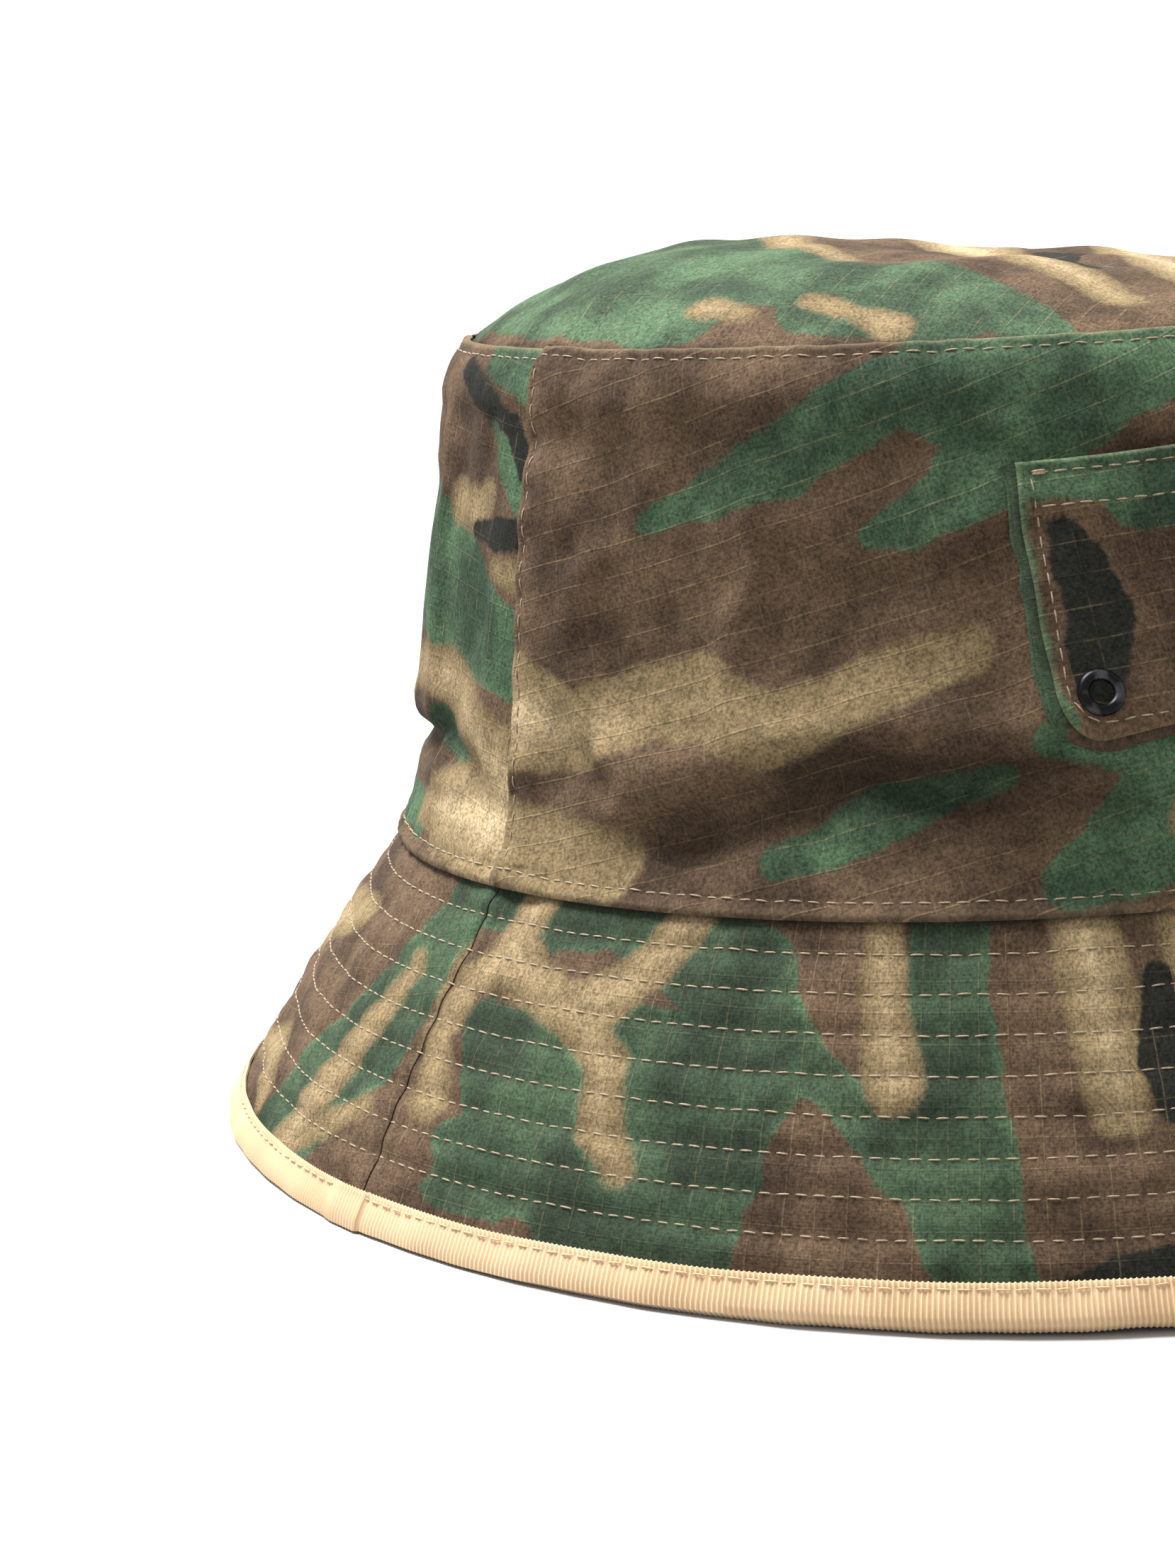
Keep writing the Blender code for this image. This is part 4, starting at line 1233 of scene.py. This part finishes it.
def gussetPath(steps):
    # Round three sides of the pocket: down the wearer's right, along the bottom, up the left.
    # Each place is a point of the outline and the direction out of the pocket there.
    wide, high, r = pocket["width"] / 2, pocket["height"] / 2, pocket["corner"]

    def turnCorner(x, start):
        angles = np.linspace(start, start + 0.5 * math.pi, 7)[1:-1]
        return [(x + r * math.cos(a), r - high + r * math.sin(a), math.cos(a), math.sin(a)) for a in angles]

    places = [(-wide, y, -1.0, 0.0) for y in np.linspace(high, r - high, steps)]
    places += turnCorner(r - wide, math.pi)
    places += [(x, -high, 0.0, -1.0) for x in np.linspace(r - wide, wide - r, 2 * steps)]
    places += turnCorner(wide - r, 1.5 * math.pi)
    places += [(wide, y, 1.0, 0.0) for y in np.linspace(r - high, high, steps)]
    return np.array(places)


def makeGusset(material):
    # The bellows pressed flat: two pleats whose folds look out from under the pocket's face.
    path = gussetPath(26)
    section = np.array([(-0.0030, 0.0004), (0.0008, 0.0005), (0.0014, 0.0006), (0.0016, 0.0008),
                        (0.0014, 0.0010), (0.0004, 0.0012), (-0.0008, 0.0013), (0.0004, 0.0015),
                        (0.0010, 0.0017), (0.0012, 0.0019), (0.0010, 0.0021), (-0.0012, 0.0022)])
    us, vs = np.arange(len(path), dtype=float), np.arange(len(section), dtype=float)
    sheet, i, j = newSheet("pocket_gusset_cloth", us, vs)
    at, cut = path[i.astype(int)], section[j.astype(int)]
    reach = cut[:, 0] * (1 + 0.25 * ripple(i * 0.001, j * 0.0, 0.006, 91))
    u, v = at[:, 0] + at[:, 2] * reach, at[:, 1] + at[:, 3] * reach
    movePoints(sheet, pocketPoint(u, v, cut[:, 1] + 0.00006 * ripple(i * 0.001, j * 0.001, 0.004, 92)))
    setCut(sheet, i * 0.0022, j * 0.0008, 0.0)
    printCloth(sheet, pocketPrint, u, v)
    # painted shade over the pleats under the pocket's face, less on the outermost fold
    setField(sheet, "wear_and_shade", -0.85 + 0.4 * ridge(cut[:, 0] - 0.0016, 0.0003))
    makeActive(sheet)
    sheet.data.flip_normals()
    smoothing = sheet.modifiers.new("rounding", "SUBSURF")
    smoothing.levels = smoothing.render_levels = 1
    bpy.ops.object.modifier_apply(modifier=smoothing.name)
    thicken(sheet, 0.00032)
    finishPiece(sheet, material, "ripstop", "pocket_gusset")


def faceRun(u, v, lift=0.0):
    # A run of thread on the pocket's face.
    return pocketPoint(u, v, faceStand(u, v)[0] + lift), surfaceNormal(pocketSurface, u, v), False


def makePocketStitches(thread):
    wide, high, inset = pocket["width"] / 2, pocket["height"] / 2, pocket["stitchIn"]
    path = gussetPath(30)
    u, v = path[:, 0] - path[:, 2] * inset, path[:, 1] - path[:, 3] * inset
    keep = v < high - pocket["hemRows"][0]
    sewRow("pocket_edge_stitches", thread, "thread", "pocket_edge_topstitch", [faceRun(u[keep], v[keep])], 25)
    u = np.linspace(-wide + inset + 0.0004, wide - inset - 0.0004, 60)
    for row, depth in zip(("upper", "lower"), pocket["hemRows"]):
        sewRow(f"pocket_hem_stitches_{row}", thread, "thread", f"pocket_hem_topstitch_{row}",
               [faceRun(u, np.full(len(u), high - depth))], 26)
    for side, turn in (("left", 1), ("right", -1)):
        u = turn * np.linspace(wide - inset - 0.0024, wide - inset - 0.0002, 8)
        runs = [faceRun(u, np.full(8, high - pocket["hemRows"][0] + line), 0.00025)
                for line in np.linspace(-0.00022, 0.00022, 4)]
        sewRow(f"pocket_tack_{side}", thread, "thread", f"pocket_bar_tack_{side}", runs, 27,
               pitch=0.0022, length=0.0022, radius=0.00016)


# each ring's section as (distance from its axis, height), going round it
ringSections = {
    "eyelet": [(0.00190, -0.0016), (0.00190, 0.0003), (0.00206, 0.00076), (0.00250, 0.00102),
               (0.00305, 0.00095), (0.00345, 0.00072), (0.00372, 0.00036), (0.00375, 0.0),
               (0.00345, -0.0001), (0.00250, -0.0001), (0.00250, -0.0016)],
    "washer": [(0.0028, -0.0018), (0.0028, -0.0014), (0.00375, -0.0014), (0.00375, -0.0018)],
}


def makeEyelets(metal):
    angles = np.linspace(0, 2 * math.pi, 49)
    for side, turn in (("left", 1), ("right", -1)):
        u = turn * (pocket["width"] / 2 - pocket["eyeletIn"][0])
        v = pocket["eyeletIn"][1] - pocket["height"] / 2
        centre = Vector(pocketPoint(u, v, pocket["faceStand"] + cloth))
        out = Vector(surfaceNormal(pocketSurface, np.array([u]), np.array([v]))[0])
        ahead = Vector(pocketSurface(u + 0.001, v) - pocketSurface(u - 0.001, v)).normalized()
        turnTo = Matrix.Translation(centre) @ Matrix((ahead, out.cross(ahead), out)).transposed().to_4x4()
        for part, node in (("eyelet", "pocket_eyelet"), ("washer", "pocket_eyelet_washer")):
            outline = ringSections[part]
            ring, a, k = newSheet(f"pocket_{part}_{side}", angles, np.arange(len(outline) + 1, dtype=float))
            reach, level = np.array(outline + outline[:1])[k.astype(int)].T
            local = np.stack([reach * np.cos(a), reach * np.sin(a), level], -1)
            movePoints(ring, np.array([turnTo @ Vector(point) for point in local]))
            closeSeam(ring)
            bpy.ops.object.mode_set(mode="EDIT")
            bpy.ops.mesh.normals_make_consistent(inside=False)
            bpy.ops.object.mode_set(mode="OBJECT")
            bpy.ops.object.shade_smooth_by_angle(angle=math.radians(60))
            finishPiece(ring, metal, "eyelet_metal", f"{node}_{side}")
    print("pocket made")


# Inside: lining and sweatband

def inwards(surface, u, v, depth, step=0.0003):
    return surface(u, v) - surfaceNormal(surface, u, v, step) * depth[:, None]


def makeInside(lining, band):
    for half, name in ((1, "front"), (-1, "back")):
        sFrom, sTo = (0.0, crownEnd) if half > 0 else (-crownEnd, 0.0)
        us, vs = np.linspace(sFrom, sTo, 110), np.linspace(0.001, crownHeight - 0.003, 30)
        sheet, s, h = newSheet(f"lining_{name}", us, vs)
        depth = liningDepth + 0.0006 + 0.0005 * ripple(s, h, 0.03, 100 + half)
        movePoints(sheet, inwards(crownSurface, s, h, depth))
        setCut(sheet, s, h, 0.0)
        sheet.data.flip_normals()
        thicken(sheet, 0.0005)
        finishPiece(sheet, lining, "lining", f"lining_{name}_panel")
    sheet, p, q = discGrid("lining_tip_cloth", 61, 0.955)
    depth = 0.0018 + 0.0004 * ripple(p * 0.07, q * 0.07, 0.03, 103)
    movePoints(sheet, inwards(tipSurface, p, q, depth, 0.004))
    setCut(sheet, p * tipHalf[0], q * tipHalf[1], 0.0)
    sheet.data.flip_normals()
    thicken(sheet, 0.0005)
    finishPiece(sheet, lining, "lining", "lining_tip")

    us, vs = np.linspace(-crownEnd, crownEnd, 301), denseEnds(0.001, 0.033, 0.0005, 0.0015, 0.003)
    sheet, s, h = newSheet("sweatband_tape", us, vs)
    depth = liningDepth + 0.0014 + 0.0003 * ripple(s, h, 0.02, 104)
    depth = depth + 0.0003 * ridge(h - 0.003, 0.0006)
    movePoints(sheet, inwards(crownSurface, s, h, depth))
    setCut(sheet, s, h, 0.0)
    sheet.data.flip_normals()
    closeSeam(sheet)
    thicken(sheet, 0.0009)
    finishPiece(sheet, band, "sweatband", "sweatband")
    print("inside made")


# The scene

setStage()
ripstop = camouflageRipstop()
threadFinish = {"roughness": 0.6, "size": 0.0004, "relief": 0.00003, "Sheen_Weight": 0.1}
tanThread = fibreMaterial("tan polyester thread", "#6C5B43", "#97846A", **threadFinish)
peachThread = fibreMaterial("peach polyester thread", "#A5845F", "#C9A880", **threadFinish)
stiffener = fibreMaterial("non-woven interlining", "#CFCBC2", "#ECE9E2", 0.9, 0.0012, 0.00008)
liningTwill = twillCloth("olive cotton lining", "#2A3024", "#454B38", 0.85, 0.0007, 0.00006)
bandTwill = twillCloth("brown twill sweatband", "#3E3325", "#6A5A44", 0.8, 0.0009, 0.0001)
tape = grosgrainTape()
brass = blackenedBrass()
print("materials ready")

makeCrownPanel("crown_front_cloth", 1, crownFrontPrint, ripstop, "crown_front_panel")
makeCrownPanel("crown_back_cloth", -1, crownBackPrint, ripstop, "crown_back_panel")
makeTip(ripstop)
makeCrownStitches(tanThread)

for halfName, half, pattern in (("front", 1, brimFrontPrint), ("back", -1, brimBackPrint)):
    # layer, node, depth, thickness, print, material, slot and which way it faces
    for layer, node, *rest in (
        ("top_cloth", "top", 0.0, cloth, pattern, ripstop, "ripstop", 1),
        ("stiffener", "interlining", brim["stiffenerDepth"], 0.0008, None, stiffener, "interlining", 1),
        ("under_cloth", "under", brim["underDepth"], cloth, underPrint, ripstop, "ripstop", -1),
    ):
        makeBrimCloth(f"brim_{layer}_{halfName}", f"brim_{node}_{halfName}", half, *rest)
makeBrimStitches(tanThread)
makeBinding(tape)
makeBindingStitches(peachThread)

makePocketFace(ripstop)
makeGusset(ripstop)
makePocketStitches(tanThread)
makeEyelets(brass)
makeInside(liningTwill, bandTwill)
